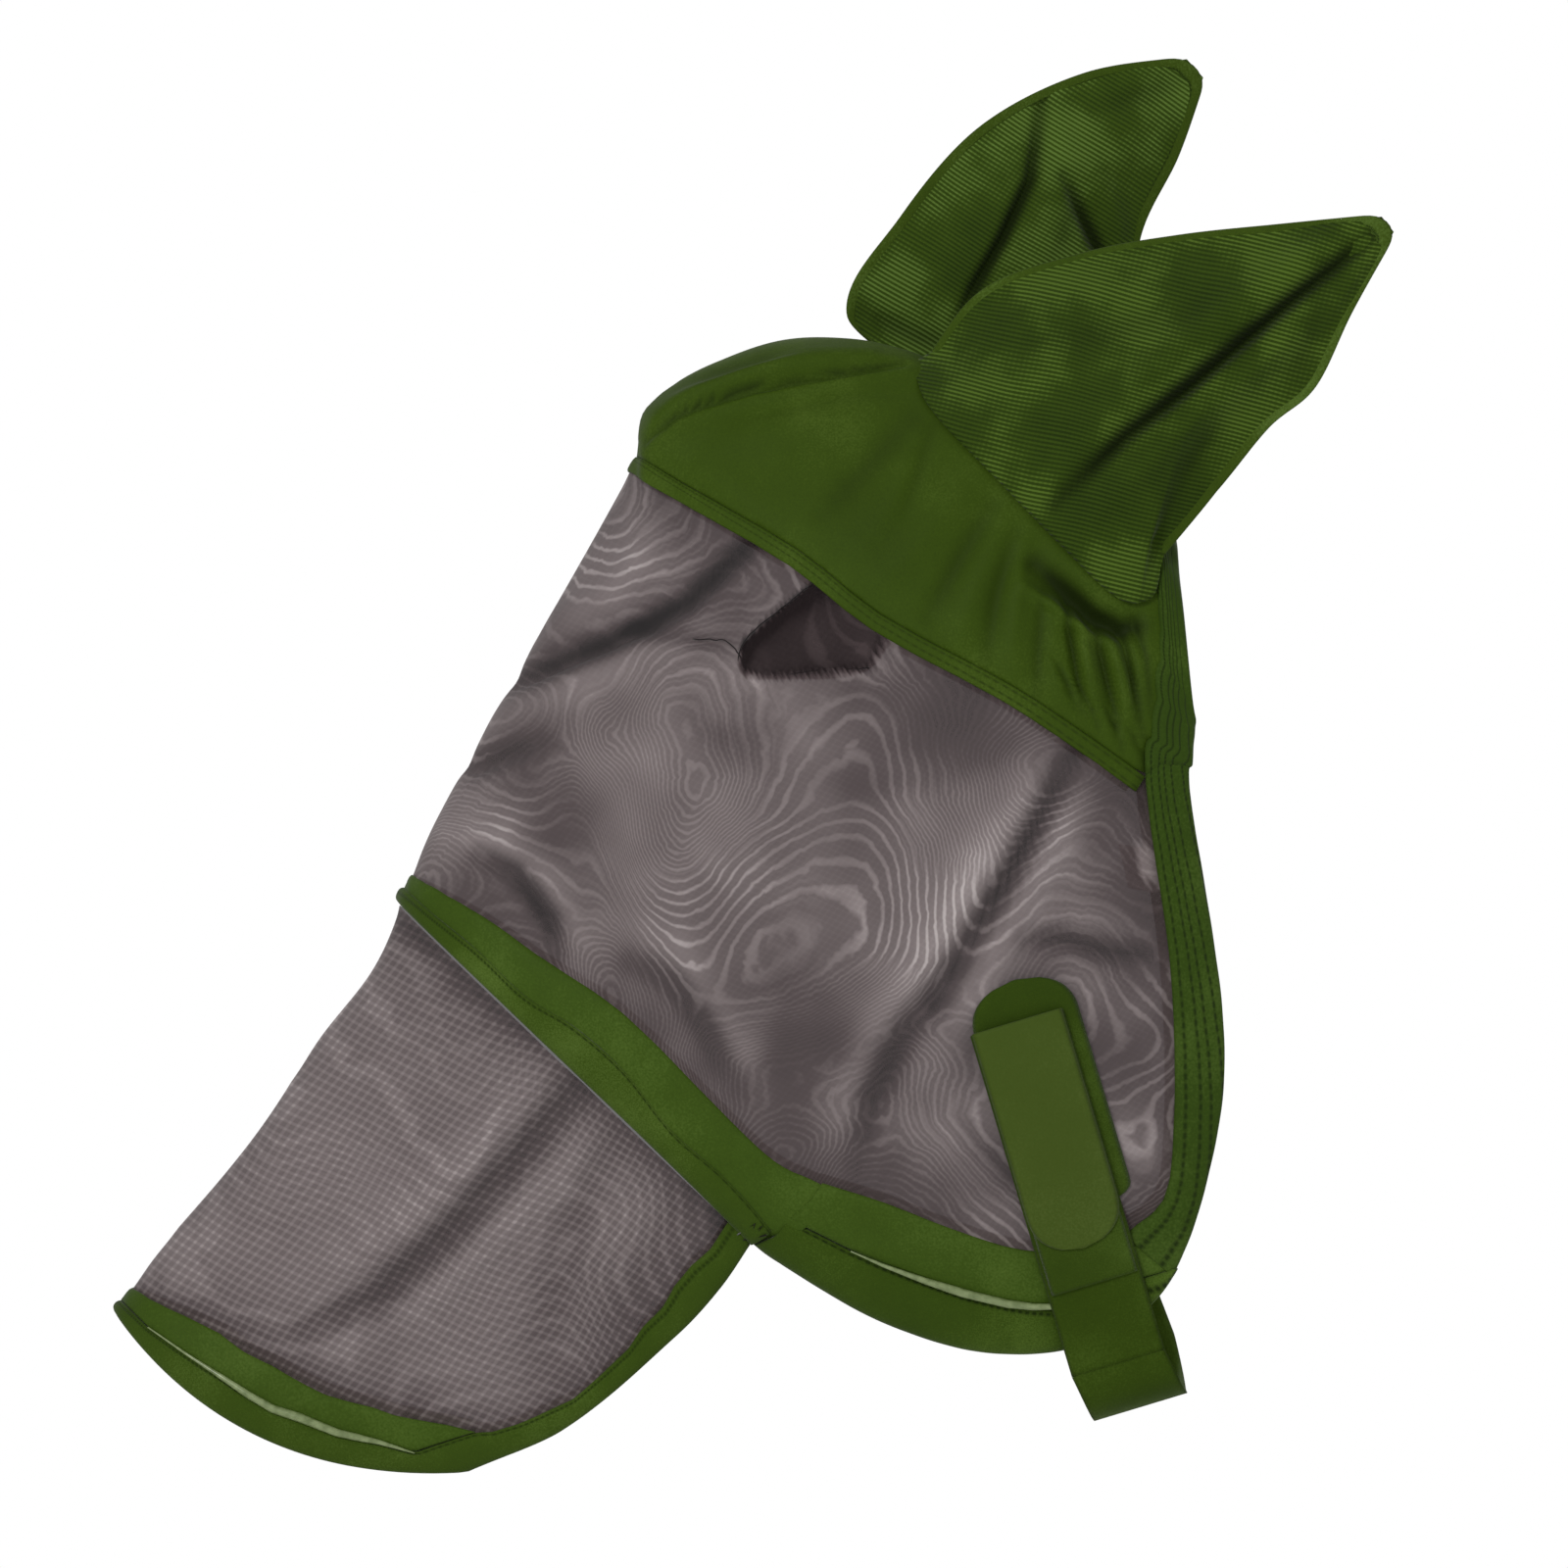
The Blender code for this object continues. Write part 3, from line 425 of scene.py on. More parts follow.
def mesh_finish(name, ring, slant, pitch, wander, lines_share, thread_share, patch_share, base):
    """Mesh with rings of thread beat: ring sets how many per wave of cloth, slant their run.
    The last four set how pale rings, threads and patches are, and the tone that they start from."""
    made, tree, shader = finish_of(name, MESH_MID, 0.75, 0.08)
    at = add(tree, "ShaderNodeTexCoord").outputs["Object"]
    squeeze = add(tree, "ShaderNodeMapping", {"Vector": at, "Scale": (1, 0.35, 1)}).outputs["Vector"]
    wave = add(tree, "ShaderNodeTexNoise", {
        "Vector": squeeze, "Scale": wander, "Detail": 1.2, "Roughness": 0.35, "Distortion": 0.35,
    }).outputs["Fac"]
    lean = add(tree, "ShaderNodeVectorMath", {0: at, 1: slant}, operation="DOT_PRODUCT").outputs["Value"]
    count = add(tree, "ShaderNodeMath", {0: wave, 1: ring, 2: lean}, operation="MULTIPLY_ADD").outputs[0]
    turn = add(tree, "ShaderNodeMath", {0: count, 1: 2 * pi}, operation="MULTIPLY").outputs[0]
    ragged = add(tree, "ShaderNodeTexNoise", {
        "Vector": at, "Scale": 75.0, "Detail": 2.0, "Distortion": 0.6,
    }).outputs["Fac"]
    turn = add(tree, "ShaderNodeMath", {0: ragged, 1: 4.6, 2: turn}, operation="MULTIPLY_ADD").outputs[0]
    lines = []
    for finer, low in ((1.0, 0.1), (2.5, -0.4)):
        beat = add(tree, "ShaderNodeMath", {0: turn, 1: finer}, operation="MULTIPLY").outputs[0]
        beat = add(tree, "ShaderNodeMath", {0: beat}, operation="SINE").outputs[0]
        lines.append(add(tree, "ShaderNodeMapRange", {
            "Value": beat, "From Min": low, "From Max": 1.1,
        }, interpolation_type="SMOOTHSTEP").outputs[0])
    where = add(tree, "ShaderNodeTexNoise", {"Vector": at, "Scale": 11.0, "Detail": 1.0}).outputs["Fac"]
    where = add(tree, "ShaderNodeMapRange", {
        "Value": where, "From Min": 0.44, "From Max": 0.56,
    }).outputs[0]
    thin = add(tree, "ShaderNodeMath", {0: lines[1], 1: 0.55}, operation="MULTIPLY").outputs[0]
    line = add(tree, "ShaderNodeMix", {0: where, 2: lines[0], 3: thin}, data_type="FLOAT").outputs[0]
    patch = add(tree, "ShaderNodeTexNoise", {
        "Vector": squeeze, "Scale": wander * 1.7, "Detail": 2.0, "Roughness": 0.5,
    }).outputs["Fac"]
    strong = add(tree, "ShaderNodeMapRange", {
        "Value": patch, "From Min": 0.36, "From Max": 0.6, "To Min": 0.2, "To Max": lines_share,
    }).outputs[0]
    rings = add(tree, "ShaderNodeMath", {0: line, 1: strong}, operation="MULTIPLY").outputs[0]
    # the crossing threads themselves, drawn at pitch
    warped = add(tree, "ShaderNodeMath", {0: wave, 1: 5.0}, operation="MULTIPLY").outputs[0]
    threads = []
    for way in ((0.80, 0, -0.60), (0.42, 0, 0.91)):
        way = [w / pitch for w in way]
        run = add(tree, "ShaderNodeVectorMath", {0: at, 1: way}, operation="DOT_PRODUCT").outputs["Value"]
        run = add(tree, "ShaderNodeMath", {0: run, 1: warped}, operation="ADD").outputs[0]
        run = add(tree, "ShaderNodeMath", {0: run, 1: 2 * pi}, operation="MULTIPLY").outputs[0]
        run = add(tree, "ShaderNodeMath", {0: run}, operation="SINE").outputs[0]
        threads.append(add(tree, "ShaderNodeMapRange", {
            "Value": run, "From Min": -0.2, "From Max": 1.0,
        }, interpolation_type="SMOOTHSTEP").outputs[0])
    crossed = add(tree, "ShaderNodeMath", {0: threads[0], 1: threads[1]}, operation="ADD").outputs[0]
    # rings show on one layer of cloth only; two layers and the painted shade are dark, and painted light
    # along the midline makes it paler
    doubled_and_painted_light = add(tree, "ShaderNodeAttribute", attribute_name="doubled_and_painted_light").outputs["Fac"]
    single = add(tree, "ShaderNodeMapRange", {
        "Value": doubled_and_painted_light, "From Min": 0.35, "From Max": 0.8, "To Min": 1.0, "To Max": 0.12,
    }).outputs[0]
    tone = add(tree, "ShaderNodeMath", {0: rings, 1: single}, operation="MULTIPLY").outputs[0]
    for part, share in ((crossed, thread_share), (patch, patch_share)):
        tone = add(tree, "ShaderNodeMath", {0: part, 1: share, 2: tone}, operation="MULTIPLY_ADD").outputs[0]
    # painted shade darkens the tone and painted light pales it
    tone = add(tree, "ShaderNodeMath", {0: tone, 1: doubled_and_painted_light}, operation="SUBTRACT").outputs[0]
    tone = add(tree, "ShaderNodeMath", {0: tone, 1: 0.5, 2: base}, operation="MULTIPLY_ADD").outputs[0]
    ramp = add(tree, "ShaderNodeValToRGB", {"Fac": tone})
    ramp.color_ramp.elements[0].position, ramp.color_ramp.elements[0].color = 0.0, linear(MESH_BLACK)
    ramp.color_ramp.elements[1].position, ramp.color_ramp.elements[1].color = 1.0, linear(MESH_PALE)
    ramp.color_ramp.elements.new(0.32).color = linear(MESH_DARK)
    ramp.color_ramp.elements.new(0.62).color = linear(MESH_MID)
    tree.links.new(ramp.outputs["Color"], shader.inputs["Base Color"])
    bump = add(tree, "ShaderNodeBump", {"Height": crossed, "Strength": 0.25, "Distance": 0.0004})
    tree.links.new(bump.outputs["Normal"], shader.inputs["Normal"])
    shader.inputs["Alpha"].default_value = MESH_CLOSED
    return made


face.data.materials.append(mesh_finish(
    "knitted_polyester_mesh_face", 30.0, (44.0, 0.0, 30.0), 0.0030, 9.0, 0.50, 0.03, 1.05, 0.12,
))


def mark(piece, name, value):
    """Keeps a value for each point of a piece, from its places in mm."""
    points = np.array([v.co for v in piece.data.vertices]) * 1000
    kept = piece.data.attributes.new(name, "FLOAT", "POINT")
    kept.data.foreach_set("value", np.asarray(value(points), np.float32))


LABEL = [(12, -200), (24, -202), (27, -222), (16, -221)]  # the care label inside shows through


def layers_and_painted_light(points):
    """How much darker the mesh is painted: painted shade where the dart's own folds and the shaded inside
    lie behind it, in its fold valleys and beside the bands, and painted light on its ridges and along the
    midline.
    """
    flat = np.c_[points[:, 0], points[:, 2]]
    far, _, inside = nearest(flat, np.array(DART, float))
    edge, _ = near_line(flat[:, 0], flat[:, 1], DART[:3])
    rearward = np.clip((flat[:, 0] - DART[1][0]) / (DART[-1][0] - DART[1][0]), 0, 1)
    pinched = 0.72 - 0.3 * rearward + 0.4 * np.exp(-edge / 5) + 0.25 * np.exp(-far / 2)
    dark = np.where(inside, pinched, 0.8 * np.exp(-((far / 1.2) ** 2)))
    # painted shade in the bottoms of the folds, painted light on their ridges
    for line, width, height in MESH_FOLDS:
        valley = -fold(flat[:, 0], flat[:, 1], line, width * 1.3, height)
        dark = dark + np.clip(valley, -4, None) * 0.085
    dark = shaded(dark, flat, (
        (BROW, 0.32, 22), (REAR_EDGE, 0.2, 16), (JAW_EDGE, 0.25, 14), (NOSE_EDGE, 0.12, 10),
    ))
    _, _, on_label = nearest(flat, np.array(LABEL, float))
    # painted light along the midline, where one layer stands against the bright room; the care label behind
    # the near cloth shows pale on it
    return dark - 0.3 * np.exp(-np.abs(points[:, 1]) / 16) - 0.6 * (on_label & (points[:, 1] < 0))


mark(face, "doubled_and_painted_light", layers_and_painted_light)
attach(face, "mask")
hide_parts("face_mesh")

# ---- Eye darts ----
# A pinch of the same mesh over each eye, sewn flat on the inside so that the cloth stands off
# the lashes. Its free edge is a ragged line of dark overlock thread.
THREAD = "#1c1516"
MESH_THICK = 0.0006  # m, as in a pinch of two layers
# The pinch is painted near black: painted shade of its two layers over the dark inside, not the mesh's own
# taupe.
dart_finish, dart_tree, dart_shader = finish_of("folded_polyester_mesh_painted_shade", "#2c2324", 0.85, 0.2)
grain = add(dart_tree, "ShaderNodeTexNoise", {
    "Vector": add(dart_tree, "ShaderNodeTexCoord").outputs["Object"], "Scale": 420.0, "Detail": 2.0,
})
ramp = add(dart_tree, "ShaderNodeValToRGB", {"Fac": grain.outputs["Fac"]})
ramp.color_ramp.elements[0].color, ramp.color_ramp.elements[1].color = linear("#241c1d"), linear("#4a3f40")
dart_tree.links.new(ramp.outputs["Color"], dart_shader.inputs["Base Color"])
thread_finish, thread_tree, thread_shader = finish_of("spun_polyester_thread", THREAD, 0.7, 0.3)
twist = add(thread_tree, "ShaderNodeTexWave", {
    "Vector": add(thread_tree, "ShaderNodeTexCoord").outputs["Object"], "Scale": 900.0,
})
bump = add(thread_tree, "ShaderNodeBump", {
    "Height": twist.outputs["Fac"], "Strength": 0.4, "Distance": 0.0002,
})
thread_tree.links.new(bump.outputs["Normal"], thread_shader.inputs["Normal"])


def closed(name, work):
    """A shape wrapped round on itself made into one closed object."""
    bmesh.ops.remove_doubles(work, verts=work.verts, dist=1e-6)
    bmesh.ops.holes_fill(work, edges=[e for e in work.edges if e.is_boundary])
    bmesh.ops.recalc_face_normals(work, faces=work.faces)
    return keep(name, work)


def tube(name, points, thick, sides, aside):
    """A round tube through points in mm; thick lists its diameters at equal steps along it."""
    last = len(points) - 1
    thick = np.interp(np.linspace(0, 1, last + 1), np.linspace(0, 1, len(thick)), thick)
    work = bmesh.new()
    bmesh.ops.create_grid(work, x_segments=sides, y_segments=last, size=0.5)
    run = np.gradient(points, axis=0)
    run /= np.linalg.norm(run, axis=1, keepdims=True) + 1e-9
    first = np.cross(run, aside)
    first /= np.linalg.norm(first, axis=1, keepdims=True) + 1e-9
    second = np.cross(run, first)
    for v in work.verts:
        turn, i = (v.co.x + 0.5) * 2 * pi, round((v.co.y + 0.5) * last)
        v.co = (points[i] + (first[i] * cos(turn) + second[i] * sin(turn)) * thick[i] / 2) * MM
    return closed(name, work)


def thread(name, points, thick, body):
    """A sewn thread through points in mm."""
    made = tube(name, np.asarray(points, float), [thick], 6, (0.3, 0.9, 0.2))
    made.data.materials.append(thread_finish)
    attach(made, body)


draw = np.random.default_rng(21)
for side, word in ((NEAR, "near"), (FAR, "far")):
    piece = cloth(
        f"eye_dart_{word}_fold", head, RUN, RUN_ROWS, [line_on_head(flow(DART + DART[:1], 4)[:-1])],
        lambda row, a: face_lay(row, a, -1.5), (side, 0) if side == NEAR else (0, side), 2.5,
    )
    wall = piece.modifiers.new("cloth", "SOLIDIFY")
    wall.thickness, wall.offset = MESH_THICK, 0
    piece.data.materials.append(dart_finish)
    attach(piece, "mask")
    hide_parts(f"eye_dart_{word}")
    seam = flow([DART[0], (-171, -79), DART[1], DART[2], DART[3], (-150, -111), DART[4]], 9)
    jitter = draw.normal(0, 0.16, (len(seam), 2))
    spots = seam + jitter
    thread(
        f"eye_dart_{word}_thread", place(spots[:, 0], spots[:, 1], side, 1.0), 0.7, "mask",
    )
    tail = flow([(-192, -105), (-198, -97), (-206, -95), (-217, -95)], 5)
    tail = tail + draw.normal(0, 0.3, tail.shape)
    thread(f"eye_dart_{word}_tail", place(tail[:, 0], tail[:, 1], side, 0.8), 0.7, "mask")

# ---- Poll panel ----
# Smooth stretch knit over the forehead and poll, with a hole for each ear. It is loose over the
# forehead, puckered under the near ear and drawn in by the elastic of the rear band.
SEAM = [(-100, 45), (-93, 22), (-60, -15), (-17, -60), (-3, -73), (7, -77), (17, -72), (21, -58)]
CROWN_LINE = flow([(28, -10), (22, -30), (23, -58), (25, -105), (17, -166)])
KNIT_THICK = 0.0011  # m
BETWEEN_EARS = 26 / 92 * 0.62  # share of the way round that stays whole from the midline to each hole
PUFF = [  # place along the head and how far the forehead stands off, mm
    (-300, 0), (-247, 0), (-236, 9), (-214, 15), (-170, 21), (-134, 17), (-106, 9), (-80, 0), (60, 0),
]
KNIT_FOLDS = (  # line, width, height, all mm
    ([(-242, 8), (-226, 22), (-214, 28), (-186, 37), (-158, 42), (-120, 48), (-108, 50)], 2.4, -6.0),
    ([(-236, 22), (-214, 34), (-186, 43), (-158, 49), (-126, 53)], 6.0, 5.0),
    ([(-236, 3), (-200, 12), (-160, 22), (-120, 30)], 10, 3.5),
    ([(-226, 36), (-196, 47), (-166, 56)], 4, -2.5),
    ([(-40, -56), (-24, -70), (-10, -83), (4, -90), (14, -88)], 7, -12.0),
    ([(-46, -68), (-30, -78), (-12, -93), (2, -97)], 3.0, 5.0),
    ([(-24, -76), (-20, -100), (-15, -134)], 2.6, -5.5),
    ([(-19, -80), (-14, -104), (-8, -134)], 3, 4.5),
    ([(-8, -90), (-3, -112), (3, -140)], 2.6, -6.0),
    ([(-2, -92), (4, -114), (9, -136)], 3, 4.5),
    ([(6, -92), (11, -114), (16, -146)], 2.4, -5.5),
    ([(12, -84), (18, -104), (20, -134)], 2.4, -4.0),
    ([(-36, -70), (-38, -96), (-40, -128)], 3.2, -3.2),
    ([(-70, -12), (-92, -36), (-116, -62)], 9, 2.8),
    ([(-62, -26), (-80, -56), (-96, -84)], 6, -3.0),
    ([(-56, -34), (-70, -66), (-80, -98)], 7, 2.8),
    ([(-50, -40), (-60, -72), (-66, -106)], 4.5, -3.2),
    ([(-46, -46), (-50, -80), (-52, -114)], 5, 3.0),
    ([(-112, 36), (-150, 18), (-196, 4)], 10, 2.6),
    ([(-104, 20), (-126, -6), (-150, -30)], 8, -2.4),
    ([(-100, 8), (-112, -20), (-128, -44)], 9, 2.6),
    ([(-92, 16), (-100, -8), (-108, -30)], 4, -1.8),
    ([(-230, 6), (-200, -14), (-172, -38)], 9, 1.8),
)
PLEATS = 8  # small pleats at the rear end of the brow
for k in range(PLEATS):
    start = (-34 + 6.2 * k, -103 - 5.6 * k)
    pleat = [start, (start[0] + 5, start[1] - 11), (start[0] + 8, start[1] - 22)]
    KNIT_FOLDS += ((pleat, 1.7, (2.4, -3.2)[k % 2]),)


def puff(row, a):
    """How far the knit stands off over the forehead; it dies away down the sides."""
    top = np.clip((0.33 - np.abs(a)) / 0.15, 0, 1)
    return through(PUFF, head(row, a)[..., 0])[..., 0] * top * top * (3 - 2 * top)


def knit_lay(row, a, off=0.0):
    """Where the poll panel lies, raised by its puff and folds."""
    puffed = puff(row, a)
    ground = out(head, row, a, puffed)
    x, z = ground[:, 0], ground[:, 2]
    lift = swell(x, z, 12, 90, 0.7)
    lift = folded(lift, x, z, KNIT_FOLDS)
    for line in (BROW, CROWN_LINE):
        far, _ = near_line(x, z, line)
        lift = lift * np.clip((far + 1) / 9, 0, 1) ** 0.7
        # no valley where the mesh lies under it
        lift = np.where(lift < 0, lift * np.clip((far - 5) / 8, 0, 1), lift)
    return out(head, row, a, lift + puffed + off)


def crease_shade(points, folds, sharp):
    """How deep in shadow the cloth lies: the bottoms of its folds, seen from the side."""
    shade = np.zeros(len(points))
    for line, width, height in folds:
        deep = fold(points[:, 0], points[:, 2], line, width * sharp, abs(height))
        shade = shade + (deep * 0.11 if height < 0 else -deep * 0.03)
    return np.clip(shade, 0, 0.85)


seam_line = flow(SEAM)
poll_line = np.vstack([BROW, [(-290, 20), (-280, 90), (28, 90)], CROWN_LINE[:-1] + (5, 0)])
hole_line = np.vstack([[(-96, 120)], seam_line + (9, 5), [(19, -30), (12, -5), (12, 120)]])
hole = line_on_head(hole_line)
hole[:, 1] = np.minimum(hole[:, 1], -BETWEEN_EARS * GIRTH[head])
poll = cloth("poll_panel_knit", head, RUN, RUN_ROWS, [line_on_head(poll_line), hole], knit_lay, cell=1.8)
wall = poll.modifiers.new("cloth", "SOLIDIFY")
wall.thickness, wall.offset = KNIT_THICK, 0

# Polyester and elastane jersey: a close smooth knit with a low soft sheen on its folds.
# Its real wales are 0.5 mm apart, so only their faint unevenness is drawn.
KNIT_DARK, KNIT_MID, KNIT_PALE = "#293a06", "#364a0b", "#475c1b"


def knit_finish(name, dark, middle, pale, roughness, sheen, grain, bump_height):
    """Dyed fabric whose tone wanders slowly, with a fine grain of its own size."""
    made, tree, shader = finish_of(name, middle, roughness, sheen)
    at = add(tree, "ShaderNodeTexCoord").outputs["Object"]
    broad = add(tree, "ShaderNodeTexNoise", {"Vector": at, "Scale": 14.0, "Detail": 4.0}).outputs["Fac"]
    fine = add(tree, "ShaderNodeTexNoise", {"Vector": at, "Scale": grain, "Detail": 2.0}).outputs["Fac"]
    tone = add(tree, "ShaderNodeMath", {0: fine, 1: 0.5, 2: broad}, operation="MULTIPLY_ADD").outputs[0]
    ramp = add(tree, "ShaderNodeValToRGB", {"Fac": tone})
    ramp.color_ramp.elements[0].position, ramp.color_ramp.elements[0].color = 0.2, linear(dark)
    ramp.color_ramp.elements[1].position, ramp.color_ramp.elements[1].color = 1.0, linear(pale)
    ramp.color_ramp.elements.new(0.75).color = linear(middle)
    tree.links.new(ramp.outputs["Color"], shader.inputs["Base Color"])
    bump = add(tree, "ShaderNodeBump", {"Height": fine, "Strength": 0.35, "Distance": bump_height})
    tree.links.new(bump.outputs["Normal"], shader.inputs["Normal"])
    return made, tree, shader, ramp, bump


def paint_crease_shade(tree, shader, ramp, shadow):
    """Paints shade on a fabric by how deep its cloth lies in a crease."""
    deep = add(tree, "ShaderNodeAttribute", attribute_name="crease").outputs["Fac"]
    dim = add(tree, "ShaderNodeMix", {
        0: deep, 6: ramp.outputs["Color"], 7: linear(shadow),
    }, data_type="RGBA")
    tree.links.new(dim.outputs[2], shader.inputs["Base Color"])


jersey, tree, shader, ramp, _ = knit_finish(
    "stretch_jersey_knit", KNIT_DARK, KNIT_MID, KNIT_PALE, 0.65, 0.02, 900.0, 0.0003,
)
paint_crease_shade(tree, shader, ramp, "#141d05")
# the crease values are painted shade at the bottoms of the folds
mark(poll, "crease", lambda points: crease_shade(points, KNIT_FOLDS, 0.8))
poll.data.materials.append(jersey)
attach(poll, "mask")
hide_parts("poll_panel")

# ---- Brow hem ----
# The knit's lower edge, folded under and twin-needle stitched down over the mesh.
STITCH = 3.2  # mm from one stitch to the next


def both_sides(line):
    """A near-side line of the flat copy run on over the midline and down the far side."""
    line = np.array(line, float)
    line[-1, 1] = 0
    return np.vstack([line, (line[:-1] * (1, -1))[::-1]])


def evenly(line, count):
    """A line cut into equal steps."""
    line = np.asarray(line, float)
    run = np.r_[0, np.cumsum(np.linalg.norm(np.diff(line, axis=0), axis=1))]
    at = np.linspace(0, run[-1], count + 1)
    return np.stack([np.interp(at, run, line[:, k]) for k in range(line.shape[1])], -1)


def band(name, edge, other, lay, low, high, count, plump=3.0, taper=0.0, ripple=0.0, seed=1):
    """A sewn band between two flat lines: flat beneath, rounded above and closed all round.
    lay(row_mm, girth_mm, height) gives the place. Its map runs across and along it in metres."""
    edge, other = evenly(edge, count), evenly(other, count)
    share = (1 - np.cos(np.linspace(0, pi, 11))) / 2
    u = np.r_[share, [0.8, 0.5, 0.2], 0.0]
    tall = np.r_[(1 - np.abs(2 * share - 1) ** plump) ** (1 / plump), np.zeros(4)]
    draw = np.random.default_rng(seed)
    wave = np.zeros(count + 1)
    for _ in range(6):
        wave += np.sin(np.arange(count + 1) / draw.uniform(1.5, 9) + draw.uniform(0, 6)) / 4
    ends = np.minimum(np.arange(count + 1), np.arange(count + 1)[::-1]) / max(taper, 1e-6)
    grow = np.minimum(1, 0.35 + 0.65 * ends) if taper else np.ones(count + 1)
    work = bmesh.new()
    bmesh.ops.create_grid(work, x_segments=len(u) - 1, y_segments=count, size=0.5)
    j = np.array([round((v.co.x + 0.5) * (len(u) - 1)) for v in work.verts])
    i = np.array([round((v.co.y + 0.5) * count) for v in work.verts])
    flat = edge[i] + (other[i] - edge[i]) * u[j][:, None]
    height = low + (high - low) * tall[j] * grow[i] * (1 + ripple * wave[i] * (u[j] > 0) * (u[j] < 1))
    points = lay(flat[:, 0], flat[:, 1], height)
    wide = np.linalg.norm(other - edge, axis=1)[i] * u[j]
    long = np.r_[0, np.cumsum(np.linalg.norm(np.diff((edge + other) / 2, axis=0), axis=1))][i]
    uv = work.loops.layers.uv.new("cloth")
    work.verts.index_update()
    for v in work.verts:
        v.co = points[v.index] * MM
        for loop in v.link_loops:
            loop[uv].uv = (wide[v.index] * MM, long[v.index] * MM)
    return closed(name, work)


def over_head(run_mm, girth_mm, height):
    """A place of the head's flat copy, at a height above the head."""
    return out(head, np.interp(run_mm, RUN, RUN_ROWS), np.clip(girth_mm / GIRTH[head], -1, 1), height)


def over_mesh(run_mm, girth_mm, height):
    """Above the head by a height, and lifted where the forehead puffs out."""
    row, a = np.interp(run_mm, RUN, RUN_ROWS), np.clip(girth_mm / GIRTH[head], -1, 1)
    return out(head, row, a, height + puff(row, a))


brow_edge = line_on_head(BROW)
brow_low = line_on_head(BROW + (-5, -8))
brow_hem = band(
    "brow_hem_strip", both_sides(brow_edge), both_sides(brow_low), over_mesh, -0.4, 1.9, 240,
    plump=4, ripple=0.10,
)


def stitched_finish(name, tones, roughness, sheen, grain, bump_height, rows, depth, shade):
    """A fabric of three tones with lockstitch along it: rows are distances across it in metres."""
    made, tree, shader, ramp, bump = knit_finish(name, *tones, roughness, sheen, grain, bump_height)
    split = add(tree, "ShaderNodeSeparateXYZ", {
        "Vector": add(tree, "ShaderNodeUVMap", uv_map="cloth").outputs["UV"],
    })
    total = None
    for row in rows:
        off = add(tree, "ShaderNodeMath", {0: split.outputs["X"], 1: row}, operation="SUBTRACT").outputs[0]
        off = add(tree, "ShaderNodeMath", {0: off}, operation="ABSOLUTE").outputs[0]
        groove = add(tree, "ShaderNodeMapRange", {
            "Value": off, "From Min": 0.0, "From Max": 0.0011, "To Min": 1.0, "To Max": 0.0,
        }, interpolation_type="SMOOTHSTEP").outputs[0]
        total = groove if total is None else add(
            tree, "ShaderNodeMath", {0: total, 1: groove}, operation="MAXIMUM").outputs[0]
    per_stitch = 2 * pi / (STITCH * MM)
    step = add(tree, "ShaderNodeMath", {
        0: split.outputs["Y"], 1: per_stitch,
    }, operation="MULTIPLY").outputs[0]
    step = add(tree, "ShaderNodeMath", {0: step}, operation="SINE").outputs[0]
    step = add(tree, "ShaderNodeMapRange", {
        "Value": step, "From Min": -0.7, "From Max": 0.4, "To Min": 0.45,
    }).outputs[0]
    total = add(tree, "ShaderNodeMath", {0: total, 1: step}, operation="MULTIPLY").outputs[0]
    dim = add(tree, "ShaderNodeMix", {
        0: total, 6: ramp.outputs["Color"], 7: linear(shade),
    }, data_type="RGBA")
    tree.links.new(dim.outputs[2], shader.inputs["Base Color"])
    sunk = add(tree, "ShaderNodeBump", {
        "Height": total, "Strength": 0.6, "Distance": depth, "Normal": bump.outputs["Normal"],
    }, invert=True)
    tree.links.new(sunk.outputs["Normal"], shader.inputs["Normal"])
    return made


stitched = stitched_finish(
    "stitched_jersey_hem", (KNIT_DARK, KNIT_MID, KNIT_PALE), 0.65, 0.02, 900.0, 0.0003,
    (0.0024, 0.0070), 0.0004, "#2b3b09",
)
brow_hem.data.materials.append(stitched)
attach(brow_hem, "mask")
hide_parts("brow_hem")

# ---- Crown, rear and jaw bands ----
# A doubled band of the jersey over elastic runs from the poll down behind each cheek and on under
# the jaw. Several rows of stitching lie along it, and it curls a little between them.
crown_in = line_on_head(CROWN_LINE)[::-1]
crown_out = np.vstack([
    np.c_[np.interp(np.linspace(9.4, 15, 14), RUN_ROWS, RUN), np.full(14, -GIRTH[head])],
    np.c_[np.full(20, RUN[-1]), np.linspace(-0.98, 0, 20) * GIRTH[head]],
])
band_cloth = stitched_finish(
    "stitched_elastic_band", ("#25370a", "#324710", "#455b20"), 0.7, 0.06, 700.0, 0.0004,
    (0.004, 0.0095, 0.0135, 0.0185, 0.026), 0.0009, "#202f09",
)
crown = band(
    "crown_band_strip", both_sides(crown_in), both_sides(crown_out), over_head, -1.0, 3.4, 200,
    plump=3.5, ripple=0.16,
)
crown.data.materials.append(band_cloth)
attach(crown, "mask")
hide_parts("crown_band")

